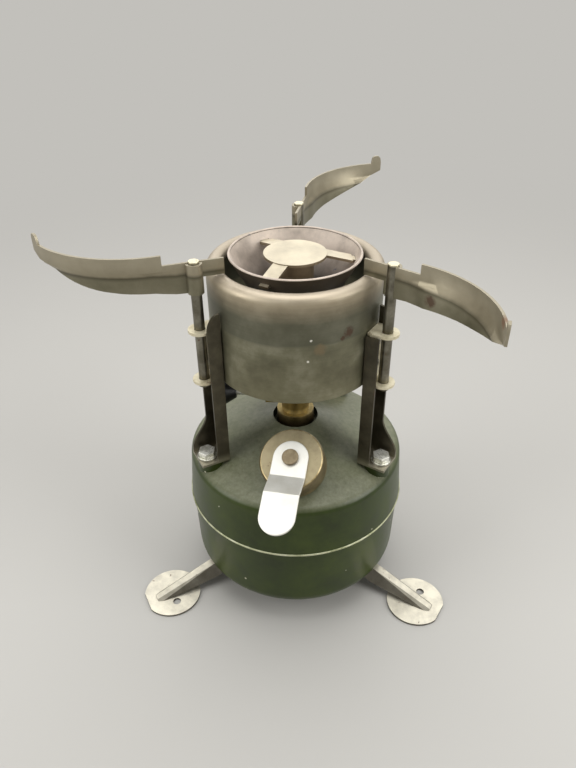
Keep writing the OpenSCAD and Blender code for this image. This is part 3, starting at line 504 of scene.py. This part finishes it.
# Steel of the flame spreader: brown clouds, with cream painted on its upward faces as light from above.
SPREADER = WornMetal(
    "bleached_steel", "#82755f", "#6b5f4b", "#978a74", metallic=0.5, rough=(0.4, 0.55), cloud_mm=16,
    # Painted light: cream on upward faces.
    stain_share=0.0, lit_upward="#dcd2ba",
)
# Rolled steel of the arms: tarnished and lightly rusted, with painted shade along and below the crease and a
# painted highlight on the strip above it.
ARM = WornMetal(
    "tarnished_steel", "#8b846f", "#736d59", "#9f9883", metallic=0.6, rough=(0.34, 0.48), cloud_mm=12,
    stain_share=0.03,
    spots=(Spot((54.8, -38.4, 185.1), 4.6), Spot((73.8, -75.5, 197.0), 5.0, "#7a5a44")),
    # Painted shade along and below the crease, and a painted highlight on the strip above it.
    bands=(
        Band(160, "#6d6a55", 0.7),
        Band(187.2, "#6d6a55", 0.6),
        Band(188.6, "#4c4736", 0.85),
        Band(190.2, "#a0967f", 0.5),
        Band(195, "#b0a792", 0.6),
    ),
    uneven_mm=1.2,
)
# Edge of thin sheet, rubbed bright by pots and handling, its pale line partly a painted highlight.
ARM_EDGE = WornMetal(
    "rubbed_steel", "#c4bda7", "#9c957e", "#dcd6c4", rough=(0.3, 0.42), cloud_mm=5
)
# Drawn rod, with a painted highlight on its top ends above the arms.
ROD = WornMetal(
    "drawn_rod_steel", "#6a6659", "#524f43", "#8b877a", rough=(0.25, 0.4), cloud_mm=8,
    # Painted highlight on the rods' top ends, above 194 mm.
    bands=(
        Band(100, "#6a6659", 0.0),
        Band(193.7, "#6a6659", 0.0),
        Band(194.3, "#e2dabd", 0.9),
        Band(200, "#e2dabd", 0.9),
    ),
    uneven_mm=0.4,
)
# Channel posts: steel darkened by heat.
POST = WornMetal(
    "darkened_steel", "#4c4739", "#3d392d", "#5e5948", metallic=0.75, rough=(0.36, 0.5), cloud_mm=11,
    bands=(
        Band(86, "#a19b89", 0.85),
        Band(90.6, "#a19b89", 0.8),
        Band(94, "#6b6656", 0.3),
        Band(100, "#6b6656", 0.0),
    ),
    uneven_mm=2.0,
)
# Lug brackets: yellowed plating.
BRACKET = WornMetal(
    "yellowed_plate", "#d8cfb2", "#b6ab8c", "#e8e1c9", metallic=0.45, rough=(0.4, 0.55), cloud_mm=6
)
# Stamped legs: plate painted bright on top as light from above, and dark on the sides as painted shade.
LEG = WornMetal(
    "worn_zinc_plate", "#6f6b60", "#5f5b50", "#837f73", metallic=0.6, rough=(0.36, 0.5), cloud_mm=9,
    # Painted light: bright tops; the darker body on the sides is painted shade.
    lit_upward="#eae4d2", lit_upward_from=(0.6, 0.88),
)
# Bright zinc of bolts and washers.
ZINC = WornMetal(
    "bright_zinc", "#e2e1d6", "#c4c3b6", "#f0efe8", metallic=0.6, rough=(0.2, 0.34), cloud_mm=4
)
# Turned brass of the valve: yellow-brown with dark tarnish.
BRASS = WornMetal(
    "tarnished_brass", "#a58c50", "#77663b", "#c0a868", metallic=0.8, rough=(0.34, 0.5), cloud_mm=7
)
# Valve body: brown oxide on the collar, a bright turned ring above it, yellow brass on the neck.
VALVE = WornMetal(
    "oxidised_brass", "#9c844a", "#6e5d34", "#b89f60", metallic=0.8, rough=(0.34, 0.5), cloud_mm=7,
    bands=(
        Band(90, "#2e2719", 0.9),
        Band(101.5, "#463c2a", 0.85),
        Band(103.4, "#6e6142", 0.6),
        Band(104.1, "#d8c48a", 0.85),
        Band(105.6, "#cdb678", 0.7),
        Band(107.0, "#7c6634", 0.4),
        Band(140, "#7c6634", 0.3),
    ),
    uneven_mm=0.6,
)
# Brass of the caps: dark brown on the skirt, and a dull tan painted on the top as light from above.
CAP = WornMetal(
    "browned_brass", "#6e6244", "#574c33", "#827555", metallic=0.5, rough=(0.42, 0.56), cloud_mm=6,
    # Painted light: a dull tan on upward faces.
    lit_upward="#a89c7c", lit_upward_from=(0.45, 0.75),
)
# Edge of the caps: pale brass, a painted highlight along the edges.
CAP_EDGE = WornMetal(
    "handled_brass", "#b3a177", "#85744f", "#cdbd95", rough=(0.3, 0.42), cloud_mm=3
)
# Riveted end of the pump rod: dull grey-brown steel.
RIVET = WornMetal(
    "dull_rod_steel", "#7a6e58", "#5f5543", "#8f836c", rough=(0.36, 0.5), cloud_mm=4
)
# Rolled aluminium strip of the pump handle: bright satin that takes the light above.
STRIP = WornMetal(
    "rolled_aluminium", "#e4e3dc", "#dad8ce", "#ecebe6", metallic=0.85, rough=(0.46, 0.57), cloud_mm=14,
    stain_share=0.0, pit_mm=0.004,
)
# Phenolic plastic of the knob, black and slightly glossy.
PHENOLIC = Moulded("black_phenolic")
# Nitrile rubber of the gaskets, matte.
RUBBER = Moulded("nitrile_rubber", body="#1e1e1c", dark="#161615", rough=0.75)
# Oiled leather of the pump cup, brown.
LEATHER = Moulded("oiled_leather", body="#6a4a2a", dark="#4c341c", rough=0.6, speck_mm=0.8, bump_mm=0.08)


@dataclass(frozen=True)
class Axis:
    """The line that a turned piece is round: a point on it in millimetres, and its direction."""

    point: tuple[float, float, float] = (0.0, 0.0, 0.0)
    along: tuple[float, float, float] = (0.0, 0.0, 1.0)

    def basis(self, place: Vector) -> Optional[Matrix]:
        """Finds the outward, round and along directions at a place.

        Args:
            place: a point in metres.

        Returns:
            The three directions as rows, or None on the axis itself.
        """
        along = Vector(self.along).normalized()
        arm = place - Vector(self.point) * MM
        out = arm - along * arm.dot(along)
        if out.length < ON_AXIS_M:
            return None
        out.normalize()
        return Matrix((out, along.cross(out), along))


UPRIGHT = Axis()
PUMP_AXIS = Axis((1.771, -33.801, 90.958), (-0.148423, -0.485878, 0.861332))
FILLER_AXIS = Axis((18.388, 37.701, 87.914), (0.154237, 0.316233, 0.93606))


def shown(name: str, data: Any) -> Object:
    """Returns a new object with that data, linked to the scene."""
    made = bpy.data.objects.new(name, data)
    bpy.context.scene.collection.objects.link(made)
    return made


def body_of(node: str) -> str:
    """Returns the name of the body that carries a CAD node."""
    return frame["nodes"][node]["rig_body"]


def even_normals(mesh: Mesh, spread: float, axis: Optional[Axis] = None) -> None:
    """Shades a mesh by its large faces, so that flats stay flat and only the rounded edges turn.

    Args:
        mesh: mesh whose corner normals are set.
        spread: faces that differ by less than this, in degrees, share a corner's normal.
        axis: axis of a turned piece, whose faces then shade as true surfaces of revolution.
    """
    faces = mesh.polygons
    around: list[list[int]] = [[] for _ in mesh.vertices]
    for face in faces:
        face.use_smooth = True
        for vertex in face.vertices:
            around[vertex].append(face.index)
    plain = [face.normal.copy() for face in faces]
    turned: list[Optional[Vector]] = []
    for face in faces:
        basis = axis.basis(face.center) if axis else None
        parts = basis @ face.normal if basis else None
        turned.append(parts if parts and abs(parts.y) < TURNED_LIMIT else None)
    close = math.cos(math.radians(spread))
    corners_out = []
    for face in faces:
        for vertex in face.vertices:
            here = mesh.vertices[vertex].co
            basis = axis.basis(here) if axis and turned[face.index] else None
            kind = turned if basis else plain
            own = kind[face.index]
            total = Vector()
            for other in around[vertex]:
                if kind[other] is not None and kind[other].dot(own) > close:
                    total += kind[other] * max(faces[other].area, LEAST_AREA)
            total = total.normalized() if total.length > 0 else own
            corners_out.append(basis.transposed() @ total if basis else total)
    mesh.normals_split_custom_set(corners_out)


def soft_copy(
    node: str,
    round_mm: float,
    finish: Finish,
    edge: Optional[Finish] = None,
    axis: Optional[Axis] = None,
    spread: float = CUT,
) -> Object:
    """Copies a CAD node with rounded edges and lets the copy stand for it.

    Args:
        node: name of the CAD node.
        round_mm: radius of the rounding in millimetres.
        finish: finish of the faces.
        edge: finish of the rounded edges, where it differs.
        axis: axis of a turned piece.
        spread: angle in degrees up to which neighbouring faces shade as one.

    Returns:
        The finished piece, riding on the node's body.
    """
    source = frame["nodes"][node].data
    mesh = source.copy()
    mesh.materials.clear()
    work = bmesh.new()
    work.from_mesh(mesh)
    bmesh.ops.remove_doubles(work, verts=work.verts, dist=MERGE_M)
    flat = math.radians(FLAT_DEG)
    bmesh.ops.dissolve_limit(work, angle_limit=flat, verts=work.verts, edges=work.edges)
    for face in work.faces:
        face.smooth = True
        face.material_index = 0
    work.to_mesh(mesh)
    work.free()
    piece = shown("looks_" + node, mesh)
    mesh.materials.append(finish.material())
    mesh.materials.append((edge or finish).material())
    rounding = piece.modifiers.new("rounding", "BEVEL")
    rounding.width = round_mm * MM
    rounding.segments = ROUND_STEPS
    rounding.limit_method = "ANGLE"
    rounding.angle_limit = math.radians(spread)
    # Rounded edges take the edge finish; on the caps, arms and tank it is partly a painted highlight.
    rounding.material = 1
    return settle(piece, body_of(node), source.materials[0].name, node, axis=axis, spread=spread)


def settle(
    piece: Object,
    body: str,
    slot: str,
    *nodes: str,
    axis: Optional[Axis] = None,
    spread: float = CUT,
    flip: bool = False,
) -> Object:
    """Turns a piece's live modifiers into plain mesh and hands it to the frame.

    Args:
        piece: object whose modifiers are still live.
        body: CAD body that carries it.
        slot: not used.
        nodes: CAD nodes that it stands for.
        axis: axis of a turned piece.
        spread: angle in degrees up to which neighbouring faces shade as one.
        flip: whether its faces may look inwards and are turned.

    Returns:
        The same piece.
    """
    live = piece.evaluated_get(bpy.context.evaluated_depsgraph_get())
    made = bpy.data.meshes.new_from_object(live)
    piece.modifiers.clear()
    piece.data = made
    if flip:
        outward(piece)
    even_normals(made, spread, axis)
    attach(piece, body)
    if nodes:
        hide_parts(*nodes)
    return piece


def new_tree(name: str, **inputs: str) -> tuple[Tree, Any]:
    """Makes a Geometry Nodes tree with named inputs.

    Args:
        name: name of the tree.
        inputs: kind of each named input.

    Returns:
        The tree, and the sockets that give its inputs.
    """
    tree = bpy.data.node_groups.new(name, "GeometryNodeTree")
    for label, kind in inputs.items():
        tree.interface.new_socket(label, in_out="INPUT", socket_type="NodeSocket" + kind)
    tree.interface.new_socket("Pieces", in_out="OUTPUT", socket_type="NodeSocketGeometry")
    return tree, add(tree, "NodeGroupInput").outputs


def close_tree(tree: Tree, shape: Socket, finish: Socket) -> Tree:
    """Realizes a tree's shape, gives it its finish and makes it the tree's output.

    Args:
        tree: the tree.
        shape: its geometry so far.
        finish: the material.

    Returns:
        The same tree.
    """
    real = add(tree, "GeometryNodeRealizeInstances", {"Geometry": shape}).outputs[0]
    dressed = add(tree, "GeometryNodeSetMaterial", {"Geometry": real, "Material": finish}).outputs[0]
    add(tree, "NodeGroupOutput", {"Pieces": dressed})
    return tree


def turning_tree() -> Tree:
    """Returns the tree that turns a profile round an axis, made on first use.

    The modified object's own points, in order, are the profile as one closed loop.
    """
    name = "turned_profile"
    if name in bpy.data.node_groups:
        return bpy.data.node_groups[name]
    sizes = {"Points": "Int", "Steps": "Int", "Centre": "Vector", "Axis": "Vector"}
    tree, given = new_tree(name, Profile="Geometry", **sizes, Finish="Material")
    rows = reckon(tree, "ADD", given["Points"], 1.0)
    columns = reckon(tree, "ADD", given["Steps"], 1.0)
    size = {"Size X": 1.0, "Size Y": 1.0, "Vertices X": columns, "Vertices Y": rows}
    grid = add(tree, "GeometryNodeMeshGrid", size).outputs["Mesh"]
    here = add(tree, "GeometryNodeInputPosition").outputs[0]
    spot = add(tree, "ShaderNodeSeparateXYZ", {0: here}).outputs
    half = reckon(tree, "MULTIPLY", given["Points"], 0.5)
    row = reckon(tree, "MULTIPLY_ADD", spot["Y"], given["Points"], half)
    index = reckon(tree, "MODULO", reckon(tree, "ROUND", row), given["Points"])
    links = {"Geometry": given["Profile"], "Value": here, "Index": index}
    place = add(
        tree, "GeometryNodeSampleIndex", data_type="FLOAT_VECTOR", domain="POINT", links=links
    ).outputs[0]
    angle = reckon(tree, "MULTIPLY_ADD", spot["X"], math.tau, math.pi)
    links = {"Vector": place, "Center": given["Centre"], "Axis": given["Axis"], "Angle": angle}
    swung = add(tree, "ShaderNodeVectorRotate", links, rotation_type="AXIS_ANGLE").outputs[0]
    shaped = add(tree, "GeometryNodeSetPosition", {"Geometry": grid, "Position": swung}).outputs[0]
    closed = add(tree, "GeometryNodeMergeByDistance", {"Geometry": shaped, "Distance": 1e-6}).outputs[0]
    return close_tree(tree, closed, given["Finish"])


def ring_tree() -> Tree:
    """Returns the tree that repeats a small part at even steps round an axis, made on first use."""
    name = "ring_of_parts"
    if name in bpy.data.node_groups:
        return bpy.data.node_groups[name]
    sizes = {"Count": "Int", "Centre": "Vector", "Axis": "Vector"}
    tree, given = new_tree(name, Part="Geometry", **sizes, Finish="Material")
    links = {0: given["Centre"], "Scale": -1.0}
    back = add(tree, "ShaderNodeVectorMath", links, operation="SCALE").outputs[0]
    part = add(tree, "GeometryNodeTransform", {"Geometry": given["Part"], "Translation": back}).outputs[0]
    links = {"Count": given["Count"], "Position": given["Centre"]}
    points = add(tree, "GeometryNodePoints", links).outputs[0]
    share = reckon(tree, "DIVIDE", math.tau, given["Count"])
    angle = reckon(tree, "MULTIPLY", add(tree, "GeometryNodeInputIndex").outputs[0], share)
    swing = add(tree, "FunctionNodeAxisAngleToRotation", {"Axis": given["Axis"], "Angle": angle}).outputs[0]
    links = {"Points": points, "Instance": part, "Rotation": swing}
    copies = add(tree, "GeometryNodeInstanceOnPoints", links).outputs[0]
    return close_tree(tree, copies, given["Finish"])


def grown(name: str, mesh: Mesh, tree: Tree, **sizes: Any) -> Object:
    """Makes an object whose mesh goes through a Geometry Nodes tree.

    Args:
        name: name of the object.
        mesh: mesh that the tree starts from.
        tree: the tree.
        sizes: value of each named input.

    Returns:
        The object, with the tree as its live modifier.
    """
    piece = shown(name, mesh)
    growth = piece.modifiers.new(tree.name, "NODES")
    growth.node_group = tree
    for item in tree.interface.items_tree:
        if item.in_out == "INPUT" and item.name in sizes:
            growth[item.identifier] = sizes[item.name]
    return piece


def turned(
    name: str, section: list[tuple[float, float]], axis: Axis, finish: Finish
) -> Object:
    """Turns a closed section round an axis with the turning tree.

    Args:
        name: name of the piece.
        section: loop of (radius, distance along the axis) in millimetres.
        axis: the axis.
        finish: finish of the piece.

    Returns:
        The piece, with the tree as its live modifier.
    """
    along = Vector(axis.along).normalized()
    side = Vector((1.0, 0.0, 0.0)) if axis is UPRIGHT else along.orthogonal().normalized()
    base = Vector(axis.point)
    mesh = bpy.data.meshes.new(name + "_section")
    links = [(i, (i + 1) % len(section)) for i in range(len(section))]
    mesh.from_pydata([(base + side * r + along * z) * MM for r, z in section], links, [])
    return grown(
        name,
        mesh,
        turning_tree(),
        Points=len(section),
        Steps=ROUND_FACETS,
        Centre=tuple(base * MM),
        Axis=tuple(along),
        Finish=finish.material(),
    )


def ringed(name: str, mesh: Mesh, axis: Axis, finish: Finish, count: int) -> Object:
    """Repeats a small part round an axis with the ring tree.

    Args:
        name: name of the piece.
        mesh: the part, at its first place.
        axis: the axis.
        finish: finish of the piece.
        count: number of parts.

    Returns:
        The piece, with the tree as its live modifier.
    """
    return grown(
        name,
        mesh,
        ring_tree(),
        Count=count,
        Centre=tuple(c * MM for c in axis.point),
        Axis=tuple(Vector(axis.along).normalized()),
        Finish=finish.material(),
    )


def outward(piece: Object) -> None:
    """Turns the faces of a piece's closed mesh outwards."""
    work = bmesh.new()
    work.from_mesh(piece.data)
    bmesh.ops.recalc_face_normals(work, faces=work.faces)
    work.to_mesh(piece.data)
    work.free()


SIDES = ("left", "right", "rear")


@dataclass
class SubAssembly(ABC):
    """A group of pieces that are built and dressed together. Lengths are in millimetres."""

    pieces: list[Object] = field(default_factory=list, init=False)

    @abstractmethod
    def build(self) -> None:
        """Makes the group's pieces."""

    def dress(self, node: str, round_mm: float, finish: Finish, **how: Any) -> None:
        """Adds the copy of a CAD node (see soft_copy)."""
        self.pieces.append(soft_copy(node, round_mm, finish, **how))

    def report(self) -> None:
        """Names each piece in the log."""
        for piece in self.pieces:
            LOG.info("%s: %s, %d faces", type(self).__name__, piece.name, len(piece.data.polygons))


@dataclass
class Tank(SubAssembly):
    """The two cups of the fuel tank, with the necks brazed into the deck."""

    lip_round: float = 0.45
    cup_round: float = 0.2
    neck_round: float = 0.3
    seam_height: float = 55.7
    seam_radius: float = 56.95
    bead: float = 0.6
    bead_points: int = 12

    def build(self) -> None:
        """Makes the cups, the bead along their seam, and the necks."""
        self.pieces.append(self.seam())
        self.dress("tank_upper_shell", self.lip_round, OLIVE, edge=WORN_AND_LIT_EDGE, axis=UPRIGHT)
        self.dress("tank_lower_shell", self.cup_round, OLIVE, axis=UPRIGHT)
        self.dress("pump_boss", self.neck_round, OLIVE, edge=WORN_AND_LIT_EDGE, axis=PUMP_AXIS)
        self.dress("filler_neck", self.neck_round, OLIVE, edge=WORN_AND_LIT_EDGE, axis=FILLER_AXIS)

    def seam(self) -> Object:
        """Returns the thin bead where the upper cup laps over the lower one, its paint worn off and its pale
        line partly a painted highlight.
        """
        section = []
        for k in range(self.bead_points):
            a = math.tau * k / self.bead_points
            radius = self.seam_radius + self.bead * math.cos(a)
            section.append((radius, self.seam_height + self.bead * math.sin(a)))
        # The bead's pale colour is worn paint and a painted highlight along the seam.
        bead = turned("tank_seam_bead", section, UPRIGHT, WORN_AND_LIT_EDGE)
        return settle(bead, "stove", "olive_paint", axis=UPRIGHT, flip=True)


@dataclass
class Legs(SubAssembly):
    """Three stamped legs and the studs on which they fold."""

    edge_round: float = 0.4

    def build(self) -> None:
        """Makes the legs and studs."""
        for side in SIDES:
            self.dress(f"leg_{side}", self.edge_round, LEG, spread=BENT_SHEET)
        self.dress("leg_studs", self.edge_round, ZINC)


@dataclass
class Posts(SubAssembly):
    """Three channel posts with their bolts, washers and rod brackets."""

    sheet_round: float = 0.3
    lug_round: float = 0.35
    bolt_round: float = 0.4
    washer_round: float = 0.25

    def build(self) -> None:
        """Makes the posts, bolts, washers and brackets."""
        for side in SIDES:
            self.dress(f"post_{side}", self.sheet_round, POST, edge=ROD, spread=BENT_SHEET)
            self.dress(f"rod_bracket_{side}", self.lug_round, BRACKET)
        self.dress("post_bolts", self.bolt_round, ZINC)
        self.dress("post_washers", self.washer_round, ZINC)


@dataclass
class HeatShield(SubAssembly):
    """The drawn shield, turned from its section, and the domed rivets that hold it."""

    radius: float = 40.2
    wall: float = 0.9
    base: float = 134.88
    top: float = 186.38
    shoulder: float = 3.8
    mouth: float = 32.8
    lip: float = 3.2
    wall_rows: int = 10
    wall_row: float = 4.0
    arc_step: int = 6
    rivet_heights: tuple[float, float] = (144.88, 155.88)
    rivet_in: float = 39.2
    rivet_out: float = 43.0
    rivet_radius: float = 2.6
    rivet_dome: float = 0.9
    rivet_facets: tuple[int, int] = (20, 12)

    def build(self) -> None:
        """Makes the shield and its rivets."""
        shield = turned("looks_heat_shield", self.section(), UPRIGHT, SHIELD)
        self.pieces.append(settle(shield, "stove", "shield_steel", "heat_shield", axis=UPRIGHT, flip=True))
        self.pieces.append(self.rivets())

    def bend(self, middle: tuple[float, float], radius: float, angles: range) -> list[tuple[float, float]]:
        """Returns an arc round a middle as (radius, height) points, at angles in degrees."""
        turns = [math.radians(a) for a in angles]
        return [(middle[0] + radius * math.cos(a), middle[1] + radius * math.sin(a)) for a in turns]

    def section(self) -> list[tuple[float, float]]:
        """Returns the section of the wall as a closed loop of (radius, height)."""
        edge = 0.5 * self.wall
        high = (self.radius - self.shoulder, self.top - self.shoulder)
        inner = (self.mouth + self.lip, self.top - self.lip)
        rows, step = range(1, self.wall_rows + 1), self.arc_step
        return [
            *self.bend((self.radius - edge, self.base + edge), edge, range(180, 361, step)),
            *[(self.radius, self.base + edge + self.wall_row * k) for k in rows],
            *self.bend(high, self.shoulder, range(0, 91, step)),
            *self.bend(inner, self.lip, range(90, 181, step)),
            *self.bend((self.mouth + edge, self.top - self.lip), edge, range(180, 361, step)),
            *self.bend(inner, self.lip - self.wall, range(180, 89, -step)),
            *self.bend(high, self.shoulder - self.wall, range(90, -1, -step)),
        ]

    def rivets(self) -> Object:
        """Returns the six rivets, each with a domed head inside and outside."""
        round_it, up_it = self.rivet_facets
        flat = Matrix.Diagonal((1.0, self.rivet_dome / self.rivet_radius, 1.0, 1.0))
        work = bmesh.new()
        for height in self.rivet_heights:
            for place in (self.rivet_in, self.rivet_out):
                dome = bmesh.ops.create_uvsphere(
                    work, u_segments=round_it, v_segments=up_it, radius=self.rivet_radius * MM
                )
                bmesh.ops.transform(work, matrix=flat, verts=dome["verts"])
                shift = Vector((0.0, place * MM, height * MM))
                bmesh.ops.translate(work, vec=shift, verts=dome["verts"])
        mesh = bpy.data.meshes.new("rivet_pair")
        work.to_mesh(mesh)
        work.free()
        ring = ringed("looks_shield_rivets", mesh, UPRIGHT, ZINC, len(SIDES))
        return settle(ring, "stove", "plated_steel", "shield_rivets", spread=DOMED)


@dataclass
class PotArms(SubAssembly):
    """Three curved arms on their rods."""

    edge_round: float = 0.22
    rod_round: float = 0.6
    arm_spread: float = 42.0

    def build(self) -> None:
        """Makes the arms and rods."""
        for side in SIDES:
            self.dress(f"pot_arm_{side}", self.edge_round, ARM, edge=ARM_EDGE, spread=self.arm_spread)
            self.dress(f"arm_rod_{side}", self.rod_round, ROD)


@dataclass
class Burner(SubAssembly):
    """Bowl, spreader, tube and the generator inside."""

    edge_round: float = 0.2
    plate_round: float = 0.3
    bowl_spread: float = 40.0

    def build(self) -> None:
        """Makes the burner's pieces."""
        self.dress(
            "burner_bowl", self.edge_round, BOWL, edge=ARM_EDGE, axis=UPRIGHT, spread=self.bowl_spread
        )
        self.dress("flame_spreader", self.plate_round, SPREADER)
        self.dress("burner_tube", self.plate_round, BOWL, axis=UPRIGHT)
        self.dress("generator_tube", self.edge_round, BRASS)
        self.dress("jet", self.edge_round, BRASS)


@dataclass
class Valve(SubAssembly):
    """Valve body, its nuts and stem, the knob, and the pickup in the tank."""

    turned_round: float = 0.4
    stem_round: float = 0.3
    knob_round: float = 0.5
    screw_round: float = 0.2

    def build(self) -> None:
        """Makes the valve's pieces."""
        self.dress("valve_body", self.turned_round, VALVE)
        for node in ("valve_lock_nut", "packing_nut", "fuel_pickup", "fuel_filter"):
            self.dress(node, self.turned_round, BRASS)
        self.dress("valve_stem", self.stem_round, ZINC)
        self.dress("control_knob", self.knob_round, PHENOLIC)
        self.dress("knob_screw", self.screw_round, ZINC)


@dataclass
class Pump(SubAssembly):
    """Pump cap, plunger and handle, with the barrel in the tank."""

    cap_round: float = 0.35
    rod_round: float = 0.6
    strip_round: float = 0.3
    strip_spread: float = 12.0
    gasket_round: float = 0.2
    inner_round: float = 0.25

    def build(self) -> None:
        """Makes the pump's pieces."""
        self.dress("pump_cap", self.cap_round, CAP, edge=CAP_EDGE, axis=PUMP_AXIS)
        self.dress("pump_rod", self.rod_round, RIVET, axis=PUMP_AXIS)
        self.dress("pump_handle", self.strip_round, STRIP, spread=self.strip_spread)
        self.dress("pump_gasket", self.gasket_round, RUBBER)
        self.dress("pump_leather", self.strip_round, LEATHER)
        for node in ("pump_barrel", "piston_nut", "check_valve"):
            self.dress(node, self.inner_round, BRASS)


@dataclass
class Filler(SubAssembly):
    """Filler cap with its grip ribs, gasket and relief plug."""

    cap_round: float = 0.35
    cap_radius: float = 10.4
    gasket_round: float = 0.2
    plug_round: float = 0.3
    ribs: int = 30
    rib_radius: float = 0.55
    rib_foot: float = 1.8
    rib_top: float = 10.4
    rib_sides: int = 10
    rib_round: float = 0.2
    rib_sharp: float = 1.2

    def build(self) -> None:
        """Makes the filler's pieces."""
        self.dress("filler_cap", self.cap_round, CAP, edge=CAP_EDGE, axis=FILLER_AXIS)
        self.pieces.append(self.grip())
        self.dress("filler_gasket", self.gasket_round, RUBBER)
        self.dress("relief_plug", self.plug_round, BRASS)

    def grip(self) -> Object:
        """Returns the ribs round the cap's skirt."""
        along = Vector(FILLER_AXIS.along).normalized()
        side = along.orthogonal().normalized()
        length = (self.rib_top - self.rib_foot) * MM
        work = bmesh.new()
        rib = bmesh.ops.create_cone(
            work,
            cap_ends=True,
            segments=self.rib_sides,
            radius1=self.rib_radius * MM,
            radius2=self.rib_radius * MM,
            depth=length,
        )
        turn = along.to_track_quat("Z", "Y").to_matrix().to_4x4()
        middle = Vector(FILLER_AXIS.point) * MM + along * (self.rib_foot * MM + length / 2)
        place = Matrix.Translation(middle + side * self.cap_radius * MM) @ turn
        bmesh.ops.transform(work, matrix=place, verts=rib["verts"])
        bmesh.ops.bevel(
            work,
            geom=[e for e in work.edges if e.calc_face_angle() > self.rib_sharp],
            offset=self.rib_round * MM,
            segments=ROUND_STEPS,
            affect="EDGES",
            profile=0.5,
        )
        mesh = bpy.data.meshes.new("grip_rib")
        work.to_mesh(mesh)
        work.free()
        ring = ringed("filler_grip_ribs", mesh, FILLER_AXIS, CAP, self.ribs)
        return settle(ring, "filler_lid", "dull_brass", spread=DOMED, flip=True)


@dataclass(frozen=True)
class Lamp:
    """A soft rectangular lamp that is aimed at the stove: place and size in metres, power in watts."""

    name: str
    place: tuple[float, float, float]
    size: tuple[float, float]
    power: float


@dataclass
class Studio:
    """Pale floor, soft light from above and both sides, and the photograph's camera.

    Camera and floor are in millimetres and degrees, the fade and the lamps' aim in metres.
    """

    camera_at: tuple[float, float, float] = (11.0, -273.8, 307.05)
    turn: float = 3.08
    dip: float = 34.63
    roll: float = -0.53
    lens: float = 30.94
    sensor: float = 36.0
    nearest: float = 10.0
    floor_half: float = 6000.0
    floor_sink: float = 0.2
    paper: str = "#c2c0bb"
    paper_rough: float = 0.85
    fade: tuple[float, float] = (0.25, 0.8)
    room_light: float = 0.3
    aim_at: tuple[float, float, float] = (0.0, 0.0, 0.1)
    lamps: tuple[Lamp, ...] = (
        Lamp("softbox", (0.0, 0.12, 1.2), (1.2, 1.0), 10.5),
        Lamp("rear_panel", (0.0, 1.35, 0.8), (1.9, 0.7), 6.0),
        Lamp("left_panel", (-0.75, -0.35, 0.5), (0.5, 0.7), 3.6),
        Lamp("right_panel", (0.75, -0.3, 0.5), (0.5, 0.7), 4.2),
    )

    def build(self) -> None:
        """Makes the floor, the lights, the world and the camera."""
        self.lay_floor()
        self.light()
        self.aim()

    def lay_floor(self) -> None:
        """Makes the floor under the feet, which fades into the backdrop's colour far from them."""
        mesh = bpy.data.meshes.new("floor")
        half, low = self.floor_half * MM, -self.floor_sink * MM
        corners_at = [(-half, -half, low), (half, -half, low), (half, half, low), (-half, half, low)]
        mesh.from_pydata(corners_at, [], [(0, 1, 2, 3)])
        floor = shown("floor", mesh)
        paper = bpy.data.materials.new("pale_paper")
        paper.use_nodes = True
        tree = paper.node_tree
        tree.nodes.clear()
        colour = linear(self.paper)
        near = add(tree, "ShaderNodeBsdfPrincipled", {"Base Color": colour, "Roughness": self.paper_rough})
        far = add(tree, "ShaderNodeEmission", {"Color": colour, "Strength": 1.0})
        place = add(tree, "ShaderNodeTexCoord").outputs["Object"]
        away = add(tree, "ShaderNodeVectorMath", {0: place}, operation="LENGTH").outputs["Value"]
        links = {"Value": away, "From Min": self.fade[0], "From Max": self.fade[1]}
        share = add(tree, "ShaderNodeMapRange", links, interpolation_type="SMOOTHSTEP").outputs[0]
        both = add(tree, "ShaderNodeMixShader", {0: share, 1: near.outputs[0], 2: far.outputs[0]})
        add(tree, "ShaderNodeOutputMaterial", {"Surface": both.outputs[0]})
        mesh.materials.append(paper)

    def light(self) -> None:
        """Makes the lamps, and a world that lights weakly but is seen as pale as the floor."""
        for item in self.lamps:
            lamp = bpy.data.lights.new(item.name, "AREA")
            lamp.shape = "RECTANGLE"
            lamp.size, lamp.size_y = item.size
            lamp.energy = item.power
            holder = shown(item.name, lamp)
            holder.location = item.place
            aim = Vector(self.aim_at) - holder.location
            holder.rotation_euler = aim.to_track_quat("-Z", "Y").to_euler()
        world = bpy.data.worlds.new("pale_room")
        world.use_nodes = True
        tree = world.node_tree
        tree.nodes.clear()
        path = add(tree, "ShaderNodeLightPath").outputs
        seen = reckon(tree, "ADD", path["Is Camera Ray"], path["Is Glossy Ray"])
        seen = reckon(tree, "ADD", seen, path["Is Transmission Ray"], use_clamp=True)
        level = remap(tree, seen, low=self.room_light)
        room = add(tree, "ShaderNodeBackground", {"Color": linear(self.paper), "Strength": level})
        add(tree, "ShaderNodeOutputWorld", {"Surface": room.outputs[0]})
        bpy.context.scene.world = world
        bpy.context.scene.view_settings.view_transform = "Standard"

    def aim(self) -> None:
        """Places the camera where the photograph was taken from."""
        lens = bpy.data.cameras.new("photo_camera")
        lens.lens = self.lens
        lens.sensor_width = self.sensor
        lens.clip_start = self.nearest * MM
        camera = shown("photo_camera", lens)
        turn = Matrix.Rotation(math.radians(self.turn), 4, "Z")
        dip = Matrix.Rotation(math.radians(90 - self.dip), 4, "X")
        roll = Matrix.Rotation(math.radians(self.roll), 4, "Z")
        place = Matrix.Translation(Vector(self.camera_at) * MM)
        camera.matrix_world = place @ turn @ dip @ roll
        bpy.context.scene.camera = camera


def main() -> None:
    """Builds the sub-assemblies in order, then the studio."""
    logging.basicConfig(level=logging.INFO, format="%(name)s: %(message)s")
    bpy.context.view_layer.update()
    for kind in (Tank, Legs, Posts, HeatShield, PotArms, Burner, Valve, Pump, Filler):
        group = kind()
        group.build()
        group.report()
    Studio().build()


if __name__ == "__main__":
    main()
